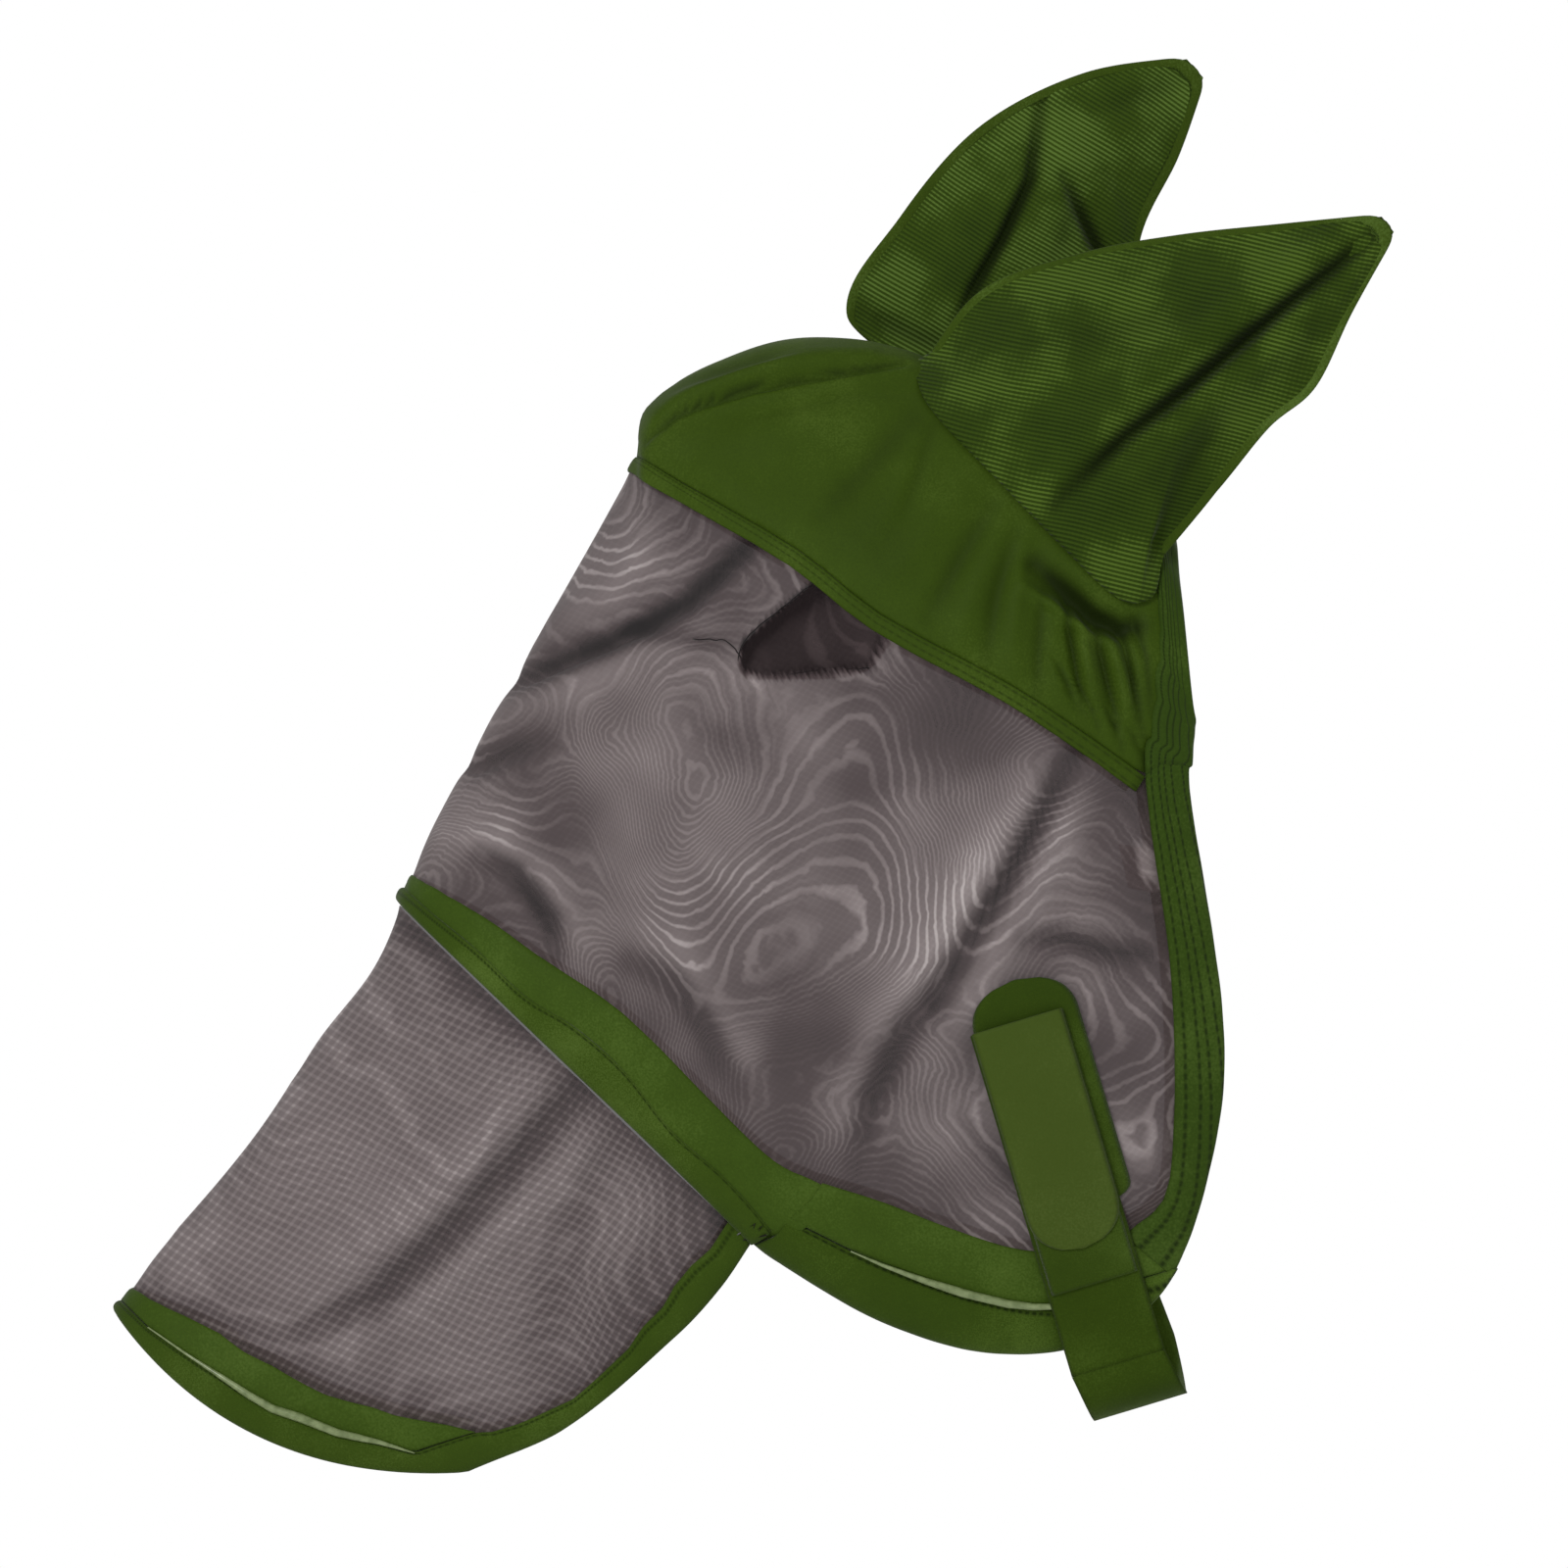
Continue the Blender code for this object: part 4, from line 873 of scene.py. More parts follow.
LOW_ROWS = np.linspace(9.5, 5.05, 60)
jaw_soft = knit_finish(
    "doubled_jersey_jaw_band", KNIT_DARK, "#3a5012", "#4b6222", 0.6, 0.06, 800.0, 0.0003,
)[0]
plush = stitched_finish(
    "brushed_velour_binding", ("#263808", "#35490f", "#4c6322"), 0.9, 0.15, 1300.0, 0.0009,
    (0.0022,), 0.0007, "#1c2a06",
)
PIPE_LINE = flow([(-168, -396), (-118, -420), (-54, -440), (-14, -440), (10, -428)])
for side, word in ((NEAR, "near"), (FAR, "far")):
    inner = line_on_head(REAR_EDGE)[::-1] * (1, -side)
    outer = np.c_[np.interp(LOW_ROWS, RUN_ROWS, RUN), np.full(60, side * GIRTH[head])]
    rear = band(
        f"rear_band_{word}_strip", inner, outer, over_head, -1.0, 3.0, 150,
        plump=3.5, ripple=0.14, seed=3,
    )
    rear.data.materials.append(band_cloth)
    inner = line_on_head(JAW_EDGE) * (1, -side)
    outer = line_on_head(np.vstack([PIPE_LINE, [(30, -423)]])) * (1, -side)
    jaw = band(
        f"jaw_band_{word}_strip", inner, outer, over_head, -1.0, 2.0, 110, plump=5, ripple=0.1, seed=5,
    )
    jaw.data.materials.append(jaw_soft)
    rim = np.interp(np.linspace(0.02, 5.12, 60), RUN_ROWS, RUN)
    binding = band(
        f"jaw_binding_{word}_strip", line_on_head(np.vstack([PIPE_LINE, [(31, -422)]])) * (1, -side),
        np.c_[rim, np.full(60, side * GIRTH[head])], over_head, -1.0, 3.6, 130,
        plump=2.4, ripple=0.12, seed=7,
    )
    binding.data.materials.append(plush)
    for piece, node, slot in (
        (rear, f"rear_band_{word}", "binding"), (jaw, f"jaw_band_{word}", "knit"),
        (binding, f"jaw_binding_{word}", "plush"),
    ):
        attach(piece, "mask")
        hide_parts(node)

# ---- Jaw pipings ----
# A satin cord sewn between the jaw band and its binding. It catches the light as a bright line: its gloss is
# real, and its pale tone is partly painted highlight.
satin, tree, shader = finish_of("satin_piping_cord_painted_highlight", "#6f8244", 0.28, 0.0)
twist = add(tree, "ShaderNodeTexNoise", {
    "Vector": add(tree, "ShaderNodeTexCoord").outputs["Object"], "Scale": 260.0, "Detail": 2.0,
})
ramp = add(tree, "ShaderNodeValToRGB", {"Fac": twist.outputs["Fac"]})
ramp.color_ramp.elements[0].color, ramp.color_ramp.elements[1].color = linear("#3e5216"), linear("#9aa878")
tree.links.new(ramp.outputs["Color"], shader.inputs["Base Color"])
shader.inputs["Specular IOR Level"].default_value = 0.6


def rope(name, points, thick, surface_finish):
    """A round cord through points in mm; thick lists its diameters along it."""
    made = tube(name, evenly(points, 90), thick, 10, (0, 1, 0.1))
    made.data.materials.append(surface_finish)
    return made


for side, word in ((NEAR, "near"), (FAR, "far")):
    line = PIPE_LINE[2:-1]
    points = place(line[:, 0], line[:, 1] + 0.5, side, 3.0)
    piping = rope(f"jaw_piping_{word}_cord", points, [0.8, 2.6, 4.6, 4.4, 3.0, 1.0], satin)
    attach(piping, "mask")
    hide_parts(f"jaw_piping_{word}")

# ---- Nose band ----
# A doubled jersey strip across the nose, sewn over the mesh's lower edge. The removable nose
# piece's velour band laps over its lower part and leaves a dark wavy gap between the two.
WAVE = flow([
    (-371, -222), (-341, -246), (-304, -281), (-267, -303), (-226, -351), (-191, -385), (-176, -402),
])
nose_in = line_on_head(np.vstack([NOSE_EDGE[:-1], [(-146, -380)]]))[::-1]
nose_out = np.vstack([
    line_on_head(np.array([(-162, -403.0)])),
    np.c_[np.full(24, RUN[0] + 0.5), -np.linspace(0.98, 0.06, 24) * GIRTH[head]], [(0.5, 0)],
])
nose_band = band(
    "nose_band_strip", both_sides(nose_in), both_sides(nose_out), over_head, -1.0, 1.7, 220,
    plump=5, ripple=0.12, seed=11,
)
nose_band.data.materials.append(jaw_soft)
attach(nose_band, "mask")
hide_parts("nose_band")

# ---- Nose piece ----
# A second, separate cut of mesh that comes off with its own velour band along the top.
# Its hem is a folded jersey facing, a satin cord and a velour binding round the curved edge.
NOSE_TOP = [(0, -371, -233), (1, -388, -270), (2, -415, -306), (5, -521, -447)]
NOSE_LOW = [(0, -186, -408), (1, -203, -433), (2, -226, -458), (4, -285, -507), (5, -335, -529)]
NOSE_HALF_WIDTH = [(0, 61), (2, 58), (5, 52)]
NOSE_EDGE_WIDTH = [(0, 52), (2, 50), (5, 44)]
NOSE_BOW = [(0, 0), (2, 2), (4, 16), (5, 27)]
MESH_LOW = flow([
    (-530, -430), (-513, -436), (-480, -448), (-436, -474), (-409, -487), (-372, -499), (-331, -507),
    (-308, -504), (-281, -490), (-252, -463), (-226, -432), (-200, -401),
])
NOSE_PIPE = flow([(-520, -441), (-462, -480), (-422, -501), (-362, -518)])


def nose(row, a):
    """Point of the nose piece's surface, mm."""
    row, a = np.broadcast_arrays(np.asarray(row, float), np.asarray(a, float))
    t = np.abs(a) ** AROUND
    top, low = through(NOSE_TOP, row), through(NOSE_LOW, row)
    y = across(0.5, through(NOSE_HALF_WIDTH, row)[..., 0], through(NOSE_EDGE_WIDTH, row)[..., 0], t)
    d = low - top
    bow = (through(NOSE_BOW, row)[..., 0] * 4 * t * (1 - t) / np.hypot(d[..., 0], d[..., 1]))[..., None]
    xz = top + d * t[..., None] + np.stack([d[..., 1], -d[..., 0]], -1) * bow
    return np.stack([xz[..., 0], np.where(a > 0, y, -y), xz[..., 1]], -1)


ROWS[nose], TURN[nose], GIRTH[nose] = 5, -1, 250.0
NOSE_ROWS = np.linspace(0, 5, 201)
NOSE_RUN = np.r_[0, np.cumsum(np.linalg.norm(np.diff(nose(NOSE_ROWS, -0.72), axis=0), axis=1))]
table_row, table_a = np.meshgrid(np.linspace(0, 5, 151), -np.linspace(0, 1, 161), indexing="ij")
table_place = nose(table_row, table_a)[..., [0, 2]].reshape(-1, 2)


def line_on_nose(points):
    """A side-view line as near-side places in the nose piece's flat copy."""
    found = []
    for p in np.asarray(points, float):
        far = ((table_place - p) ** 2).sum(1)
        k = far.argmin()
        a = table_a.flat[k]
        past = a > -0.04 and far[k] > 4
        run = np.interp(table_row.flat[k], NOSE_ROWS, NOSE_RUN)
        found.append((run, (0.06 if past else a) * GIRTH[nose]))
    return np.array(found)


def over_nose(run_mm, girth_mm, height):
    """A place of the nose piece's flat copy, at a height above it."""
    row, a = np.interp(run_mm, NOSE_RUN, NOSE_ROWS), np.clip(girth_mm / GIRTH[nose], -1, 1)
    return out(nose, row, a, height)


NOSE_FOLDS = (  # line, width, height, all mm
    ([(-262, -312), (-290, -344), (-336, -396), (-384, -440), (-418, -452)], 8, -8.0),
    ([(-286, -306), (-318, -346), (-366, -398), (-420, -436)], 12, 5.0),
    ([(-246, -334), (-292, -380), (-346, -430), (-388, -460)], 9, 5.0),
    ([(-250, -330), (-262, -360), (-290, -430), (-300, -480)], 9, -3.0),
    ([(-430, -318), (-462, -366), (-486, -410)], 13, -2.5),
    ([(-222, -384), (-240, -420), (-262, -462)], 8, -2.5),
    ([(-330, -262), (-300, -292), (-270, -318)], 7, -3.0),
)
BAND_SEAT, SEAT_REACH = 1.5, 6.0  # mm above the head, and how far down the mesh eases to it


def nose_lay(row, a):
    """Where the nose mesh lies, raised by its folds and eased up to its band."""
    ground = nose(row, a)
    x, z = ground[:, 0], ground[:, 2]
    lift = swell(x, z, 31, 130, 1.6)
    lift = folded(lift, x, z, NOSE_FOLDS)
    for line in (MESH_LOW, WAVE):
        far, _ = near_line(x, z, line)
        lift = lift * np.clip((far - 1) / 14, 0, 1) ** 0.7
    # the top edge is sewn under its band, which lies on the head surface and not on the nose
    first = np.zeros_like(a)
    seat = out(head, first, a, BAND_SEAT) - out(nose, first, a, 0.0)
    far = np.linalg.norm(seat, axis=1, keepdims=True)
    seat = seat * np.minimum(1, SEAT_REACH / np.maximum(far, 1e-6))
    top = np.interp(row, NOSE_ROWS, NOSE_RUN)
    return out(nose, row, a, lift) + seat * np.exp(-top / SEAT_REACH)[:, None]


nose_line = np.vstack([
    line_on_nose(MESH_LOW[:-2] + (-1, -MESH_TUCK)), [(6, -248), (1, -250), (1, 15), (NOSE_RUN[-1], 15)],
])
nose_mesh = cloth("nose_mesh_cloth", nose, NOSE_RUN, NOSE_ROWS, [nose_line], nose_lay)
nose_mesh.data.materials.append(mesh_finish(
    "knitted_polyester_mesh_nose", 14.0, (20.0, 0.0, 40.0), 0.0042, 8.0, 0.16, 0.20, 0.55, 0.28,
))


def nose_painted_light(points):
    """How much darker the nose mesh is painted: painted shade in its folds and beside its bands, and painted
    light on its ridges and along its midline.
    """
    flat = np.c_[points[:, 0], points[:, 2]]
    dark = np.zeros(len(flat))
    for line, width, height in NOSE_FOLDS:
        valley = -fold(flat[:, 0], flat[:, 1], line, width * 1.2, height)
        dark = dark + valley * (0.06 if height < 0 else 0.03)
    dark = shaded(dark, flat, ((MESH_LOW, 0.45, 11), (WAVE - (9, 12), 0.6, 10)))
    return dark - 0.45 * np.exp(-np.abs(points[:, 1]) / 14)


mark(nose_mesh, "doubled_and_painted_light", nose_painted_light)
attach(nose_mesh, "nose_piece")
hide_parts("nose_mesh")

velour_hem = stitched_finish(
    "brushed_velour_hem", ("#293b0c", "#394d13", "#516729"), 0.9, 0.1, 1300.0, 0.0009,
    (0.0020,), 0.0007, "#26360a",
)
hem_end = 18  # where the cord runs out and the binding meets the mesh
edge = line_on_nose(np.vstack([NOSE_PIPE, [MESH_LOW[hem_end]]]))
facing_strip = band(
    "nose_hem_facing_strip", both_sides(line_on_nose(MESH_LOW[: hem_end + 1])[::-1]),
    both_sides(edge[::-1]), over_nose, -1.0, 1.6, 200, plump=5, ripple=0.1, seed=13,
)
facing_strip.data.materials.append(jaw_soft)
rim_line = np.vstack([
    np.c_[np.linspace(NOSE_RUN[-1], 0, 70), np.full(70, -GIRTH[nose])][::-1],
    np.c_[np.full(30, NOSE_RUN[-1]), -np.linspace(0.98, 0, 30) * GIRTH[nose]],
])
inner_line = np.vstack([line_on_nose(np.vstack([MESH_LOW[hem_end:-1], [(-197, -396)]]))[::-1], edge[-2::-1]])
hem_strip = band(
    "nose_hem_binding_strip", both_sides(inner_line), both_sides(rim_line), over_nose, -1.2, 3.0, 300,
    plump=2.6, ripple=0.10, seed=17,
)
hem_strip.data.materials.append(velour_hem)
satin_line = line_on_nose(NOSE_PIPE[1:])[::-1]
satin_points = over_nose(satin_line[:, 0], satin_line[:, 1], np.full(len(satin_line), 2.6))
nose_cord = rope("nose_hem_cord", satin_points, [0.8, 3.8, 4.8, 3.8, 1.6, 0.8], satin)
uneven = np.random.default_rng(23).normal(0, 0.7, (len(WAVE), 2))
uneven = uneven * np.r_[0, np.ones(len(WAVE) - 2), 0][:, None]  # the ends stay where they are
band_in = line_on_head(flow(WAVE[::2] + uneven[::2], 4))[::-1]
band_out = np.vstack([
    line_on_head(np.array([(-187, -410.0)])),
    np.c_[np.full(24, RUN[0] + 0.2), -np.linspace(0.97, 0.06, 24) * GIRTH[head]], [(0.2, 0)],
])

top_strip = band(
    "nose_top_band_strip", both_sides(band_in), both_sides(band_out), over_head, 1.0, 4.2, 260,
    plump=2.6, ripple=0.22, seed=19,
)
top_strip.data.materials.append(velour_hem)
for piece, node, slot in (
    (facing_strip, "nose_hem_facing", "knit"), (hem_strip, "nose_hem_binding", "plush"),
    (top_strip, "nose_top_band", "plush"),
):
    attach(piece, "nose_piece")
    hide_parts(node)
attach(nose_cord, "nose_piece")
corner = [(-192, -402), (-184, -397), (-186, -408), (-180, -398), (-193, -409), (-178, -403)]
corner = np.array(corner, float)
thread("mitre_corner_stitch", place(corner[:, 0], corner[:, 1], NEAR, 4.4), 0.8, "nose_piece")

# ---- Ears ----
# Each ear cover is two shaped halves of ribbed knit, sewn together with a hem strip round the edge
# and set into the hole in the poll panel. With no horse inside, they crease along their length.
EAR_HEM = 7.0  # mm wide
EAR_STEPS = 90  # rows of the hem up each edge
NEAR_EAR = {
    "front": [
        (0, -100, 45, 26), (0.2, -67, 88, 35), (0.4, -15, 107, 48), (0.6, 36, 116, 62),
        (0.8, 88, 121, 76), (1, 143, 126, 86),
    ],
    "rear": [
        (0, 20, -56, 52), (0.2, 55, -18, 66), (0.4, 82, 15, 74), (0.6, 106, 36, 80),
        (0.8, 125, 75, 86), (1, 149, 118, 88),
    ],
    "side": NEAR,
}
FAR_EAR = {
    "front": [
        (0, -100, 45, 26), (0.14, -137, 78, 36), (0.4, -108, 131, 46), (0.6, -67, 178, 56),
        (0.8, -12, 207, 64), (1, 47, 217, 68),
    ],
    "rear": [
        (0, 20, -56, 52), (0.2, 24, -8, 64), (0.4, 18, 60, 70), (0.6, 19, 118, 72),
        (0.8, 40, 164, 72), (1, 55, 207, 70),
    ],
    "side": FAR,
}
SEAM_LONG = flow(SEAM[:-1] + [(20, -60)], 4)
BESIDE_POLL = [(0, 12, 26), (0.3, 12.8, 25), (0.6, 13.7, 25), (0.8, 14.3, 32), (1, 14.7, 50)]


def ear_base(side, half, b):
    """Where the ear is sewn to the knit: the outer seam, or the line beside the poll."""
    height = 1.5 + 0.9 * np.sin(pi * b) ** 0.7
    if half == "outer":
        k = b * (len(SEAM_LONG) - 1)
        pull = 2.6 * np.sin(pi * b) ** 0.5 * 0.7
        x = np.interp(k, range(len(SEAM_LONG)), SEAM_LONG[:, 0]) + pull
        z = np.interp(k, range(len(SEAM_LONG)), SEAM_LONG[:, 1]) + pull
        return place(x, z, side, height)
    row, y = through(BESIDE_POLL, b).T
    y = y + 1.5 * np.sin(pi * b)
    low, high = np.zeros_like(b), np.ones_like(b)
    for _ in range(24):
        a = (low + high) / 2
        short = np.abs(head(row, a)[:, 1]) < y
        low, high = np.where(short, a, low), np.where(short, high, a)
    return out(head, row, side * a, height)


def ear_edge(ear, which, v):
    """Front or rear edge of an ear at some heights, drawn to where its seam starts."""
    x, z, y = through(ear[which], v).T
    p = np.stack([x, y * ear["side"], z], -1)
    start = ear_base(ear["side"], "outer", np.array([0.0 if which == "front" else 1.0]))[0]
    x, z, y = through(ear[which], 0.0)
    return p + (start - (x, y * ear["side"], z)) * np.maximum(1 - v / 0.2, 0)[:, None]


def ear_frame(ear, v):
    """Front edges, rear edges and outward normals of an ear at some heights."""
    f, r = ear_edge(ear, "front", v), ear_edge(ear, "rear", v)
    up, down = np.minimum(v + 0.02, 1), np.maximum(v - 0.02, 0)
    rise = (
        ear_edge(ear, "front", up) + ear_edge(ear, "rear", up)
        - ear_edge(ear, "front", down) - ear_edge(ear, "rear", down)
    )
    n = np.cross(r - f, rise)
    n /= np.linalg.norm(n, axis=1, keepdims=True)
    return f, r, n * np.where(n[:, 1] * ear["side"] < 0, -1, 1)[:, None]


def ear_half(name, ear, half, folds, columns=96, rows=128):
    """One half of an ear cover, as a grid of cloth with its creases."""
    v, b = np.linspace(0, 0.985, rows + 1), np.linspace(0, 1, columns + 1)
    f, r, n = ear_frame(ear, v)
    n = n if half == "outer" else -n
    long = np.linalg.norm(r - f, axis=1)
    trim = 2.0 / long
    c = trim[:, None] + (1 - 2 * trim[:, None]) * b
    bulge = {"outer": 24, "inner": 16}[half] * np.sin(pi * np.minimum(v / 0.9, 1)) ** 0.7 * (1 - 0.5 * v)
    lift = bulge[:, None] * np.sin(pi * b) ** 1.3 + 0.5
    points = f[:, None] + (r - f)[:, None] * c[..., None] + n[:, None] * lift[..., None]
    near = np.maximum(1 - v / 0.55, 0) ** 2
    f0, r0 = f[0], r[0]
    trim0 = (EAR_HEM + 0.3) / long[0]
    c0 = trim0 + (1 - 2 * trim0) * b
    shift = ear_base(ear["side"], half, b) - (f0 + (r0 - f0) * c0[:, None])
    ends = np.minimum(np.minimum(b, 1 - b) * 4, 1)
    share = near[:, None] * (ends + (1 - ends) * np.maximum(1 - v / 0.06, 0)[:, None])
    points = points + shift * share[..., None]
    x, z = points[..., 0], points[..., 2]
    crease = swell(x, z, 5 if half == "outer" else 8, 70, 1.0)
    crease = folded(crease, x, z, folds)
    settle = np.minimum(np.minimum(b, 1 - b) * 9, 1) * np.minimum(v[:, None] * 14, 1)
    settle = settle * np.clip((0.96 - v[:, None]) * 12, 0, 1)
    points = points + n[:, None] * (crease * settle)[..., None]
    work = bmesh.new()
    bmesh.ops.create_grid(work, x_segments=columns, y_segments=rows, size=0.5)
    uv = work.loops.layers.uv.new("cloth")
    for vert in work.verts:
        j, i = round((vert.co.x + 0.5) * columns), round((vert.co.y + 0.5) * rows)
        vert.co = points[i, j] * MM
        for loop in vert.link_loops:
            loop[uv].uv = ((b[j] - 0.5) * long[i] * MM, v[i] * 0.26)
    bmesh.ops.recalc_face_normals(work, faces=work.faces)
    outward = Vector(n.mean(0))
    if sum(outward.dot(part.normal) for part in work.faces) < 0:
        bmesh.ops.reverse_faces(work, faces=work.faces)
    made = keep(name, work)
    # the crease values are painted shade at the bottoms of the creases
    mark(made, "crease", lambda points: crease_shade(points, folds, 0.9))
    wall = made.modifiers.new("cloth", "SOLIDIFY")
    wall.thickness, wall.offset = KNIT_THICK, 0
    return made


def ear_hem(name, ear):
    """The stitched strip folded over the edge, up the front, round the tip and down the rear."""
    steps = np.linspace(0.035, 1.0, EAR_STEPS)
    lines = []
    for which in ("front", "rear"):
        f, r, n = ear_frame(ear, steps)
        long = np.linalg.norm(r - f, axis=1)[:, None]
        share = np.minimum(EAR_HEM / long, 0.42)
        edge = f if which == "front" else r
        inner = edge + ((r - f) if which == "front" else (f - r)) * share
        f2, r2, _ = ear_frame(ear, np.full_like(steps, 0.93))
        tip = np.clip((steps - 0.94) / 0.06, 0, 1)[:, None] ** 1.5
        inner = inner * (1 - tip) + (f2 + r2) / 2 * tip
        lines.append((edge, inner, n) if which == "front" else (edge[::-1], inner[::-1], n[::-1]))
    edge, inner, n = (np.vstack([lines[0][k], lines[1][k]]) for k in range(3))
    low, high = EAR_STEPS - 6, EAR_STEPS + 7  # rows round the tip, smoothed
    for _ in range(6):
        for line in (edge, inner):
            line[low:high] = (line[low - 1 : high - 1] + line[low:high] + line[low + 1 : high + 1]) / 3
    ring = 12
    work = bmesh.new()
    bmesh.ops.create_grid(work, x_segments=ring, y_segments=len(edge) - 1, size=0.5)
    uv = work.loops.layers.uv.new("cloth")
    run = np.r_[0, np.cumsum(np.linalg.norm(np.diff(edge, axis=0), axis=1))]
    for vert in work.verts:
        turn, i = (vert.co.x + 0.5) * 2 * pi, round((vert.co.y + 0.5) * (len(edge) - 1))
        share = 0.5 - 0.5 * cos(turn)
        thick = 1.55 * np.sign(sin(turn)) * abs(sin(turn)) ** 0.45
        vert.co = (edge[i] + (inner[i] - edge[i]) * share + n[i] * thick) * MM
        for loop in vert.link_loops:
            loop[uv].uv = (share * 0.007, run[i] * MM)
    return closed(name, work)


# A 1x1 rib in the same dyed yarn: raised wales 2.3 mm apart with dark furrows between them.
RIB = 0.0023  # m


def rib_finish(name, tilt, dark, middle, pale):
    """Ribbed knit whose furrows run at a tilt in degrees, with its tones from dark to pale."""
    made, tree, shader = finish_of(name, middle, 0.8, 0.06)
    at = add(tree, "ShaderNodeTexCoord").outputs["Object"]
    bend = add(tree, "ShaderNodeTexNoise", {"Vector": at, "Scale": 14.0, "Detail": 1.0}).outputs["Fac"]
    way = (sin(radians(tilt)) / RIB, 0.0, cos(radians(tilt)) / RIB)
    run = add(tree, "ShaderNodeVectorMath", {0: at, 1: way}, operation="DOT_PRODUCT").outputs["Value"]
    run = add(tree, "ShaderNodeMath", {0: bend, 1: 3.2, 2: run}, operation="MULTIPLY_ADD").outputs[0]
    run = add(tree, "ShaderNodeMath", {0: run, 1: 2 * pi}, operation="MULTIPLY").outputs[0]
    wale = add(tree, "ShaderNodeMath", {0: run}, operation="SINE").outputs[0]
    wale = add(tree, "ShaderNodeMapRange", {
        "Value": wale, "From Min": -0.9, "From Max": 0.6,
    }, interpolation_type="SMOOTHSTEP").outputs[0]
    cross = add(tree, "ShaderNodeVectorMath", {
        0: at, 1: (way[2] * 0.9, 0.0, -way[0] * 0.9),
    }, operation="DOT_PRODUCT").outputs["Value"]
    cross = add(tree, "ShaderNodeMath", {0: cross, 1: 2 * pi}, operation="MULTIPLY").outputs[0]
    cross = add(tree, "ShaderNodeMath", {0: cross}, operation="SINE").outputs[0]
    knot = add(tree, "ShaderNodeMath", {0: cross, 1: 0.05, 2: wale}, operation="MULTIPLY_ADD").outputs[0]
    broad = add(tree, "ShaderNodeTexNoise", {"Vector": at, "Scale": 20.0, "Detail": 3.0}).outputs["Fac"]
    tone = add(tree, "ShaderNodeMath", {0: knot, 1: 0.42, 2: broad}, operation="MULTIPLY_ADD").outputs[0]
    ramp = add(tree, "ShaderNodeValToRGB", {"Fac": tone})
    ramp.color_ramp.elements[0].position, ramp.color_ramp.elements[0].color = 0.35, linear(dark)
    ramp.color_ramp.elements[1].position, ramp.color_ramp.elements[1].color = 1.25, linear(pale)
    ramp.color_ramp.elements.new(0.9).color = linear(middle)
    paint_crease_shade(tree, shader, ramp, "#131c05")
    bump = add(tree, "ShaderNodeBump", {"Height": knot, "Strength": 0.5, "Distance": 0.0007})
    tree.links.new(bump.outputs["Normal"], shader.inputs["Normal"])
    return made


# One yarn in a shaded and a lit copy: the near ear's tones are darker as painted shade, and the far ear's
# are paler as painted light.
ribs_near = rib_finish("rib_knit_near_ear_painted_shade", 14, "#202f07", "#364a0f", "#4f6622")
ribs_far = rib_finish("rib_knit_far_ear_painted_light", 32, "#24350a", "#3d5213", "#5a7330")
hem_finish = stitched_finish(
    "stitched_rib_edge", ("#293b0b", "#394c11", "#51682a"), 0.85, 0.03, 900.0, 0.0005,
    (0.0058,), 0.0007, "#22310a",
)
NEAR_CREASES = (
    ([(140, 118), (104, 90), (65, 58), (34, 32), (6, 10), (-30, -25)], 4.5, -12.0),
    ([(140, 106), (108, 74), (74, 44), (42, 16), (12, -10), (-12, -36)], 8.0, 7.0),
    ([(128, 122), (92, 98), (54, 72), (20, 44), (-12, 14)], 9.0, 5.0),
    ([(-40, 60), (0, 66), (40, 74)], 9.0, -2.5),
    ([(96, 44), (104, 70), (118, 92)], 7.0, -3.0),
    ([(30, -22), (48, 8), (58, 30)], 7.0, -2.5),
    ([(-70, 30), (-44, 0), (-24, -30)], 10.0, 2.0),
)
FAR_CREASES = (
    ([(-33, 192), (-39, 150), (-54, 118), (-69, 91), (-78, 72)], 4.0, -9.0),
    ([(-24, 190), (-20, 156), (-30, 118), (-44, 88)], 8.0, 4.0),
    ([(-22, 152), (-10, 128), (0, 108), (6, 84)], 4.0, -9.0),
    ([(-10, 160), (4, 136), (12, 112)], 7.0, 3.5),
    ([(-128, 80), (-100, 66), (-74, 58)], 6.0, -4.0),
    ([(0, 190), (20, 196), (40, 204)], 7.0, -2.5),
)
for word, ear, ribs, creases, seen_half in (
    ("near", NEAR_EAR, ribs_near, NEAR_CREASES, "outer"), ("far", FAR_EAR, ribs_far, FAR_CREASES, "inner"),
):
    halves = {}
    for half in ("outer", "inner"):
        folds = creases if half == seen_half else ()
        halves[half] = ear_half(f"{word}_ear_{half}_knit", ear, half, folds)
        halves[half].data.materials.append(ribs)
    hem = ear_hem(f"{word}_ear_hem_strip", ear)
    hem.data.materials.append(hem_finish)
    for piece, node in (
        (halves["outer"], f"{word}_ear_outer_panel"), (halves["inner"], f"{word}_ear_inner_panel"),
        (hem, f"{word}_ear_hem"),
    ):
        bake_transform(piece)
        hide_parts(node)

# ---- Throat strap ----
# A brushed strap sewn to the far cheek hangs in a bow under the throat and closes on a soft loop
# pad on the near cheek. Its folded end carries a smooth hook tab on top.
STRAP_TOP = (-50, -292)
DOWN, OVER = np.array((0.288, -0.958)), np.array((0.958, 0.288))
STRAP_WIDTH, LEAVES, BEND, STRAP_DROP = 50.0, 150.0, 186.0, 26.0
STRAP_LOW, STRAP_HIGH = 3.7, 5.3  # heights of the strap's two faces over the cheek
BOW_HALF, LEAVE_OVER = 58.0, 25.0  # half of the bow's width, and the length over which it leaves the cheek
ANCHOR_START, LEG_SHARE = 96.0, 0.42  # where the far leg starts, and its share of the bow strip's length
TAB_LOW = 7.1  # height of the tab's lower face


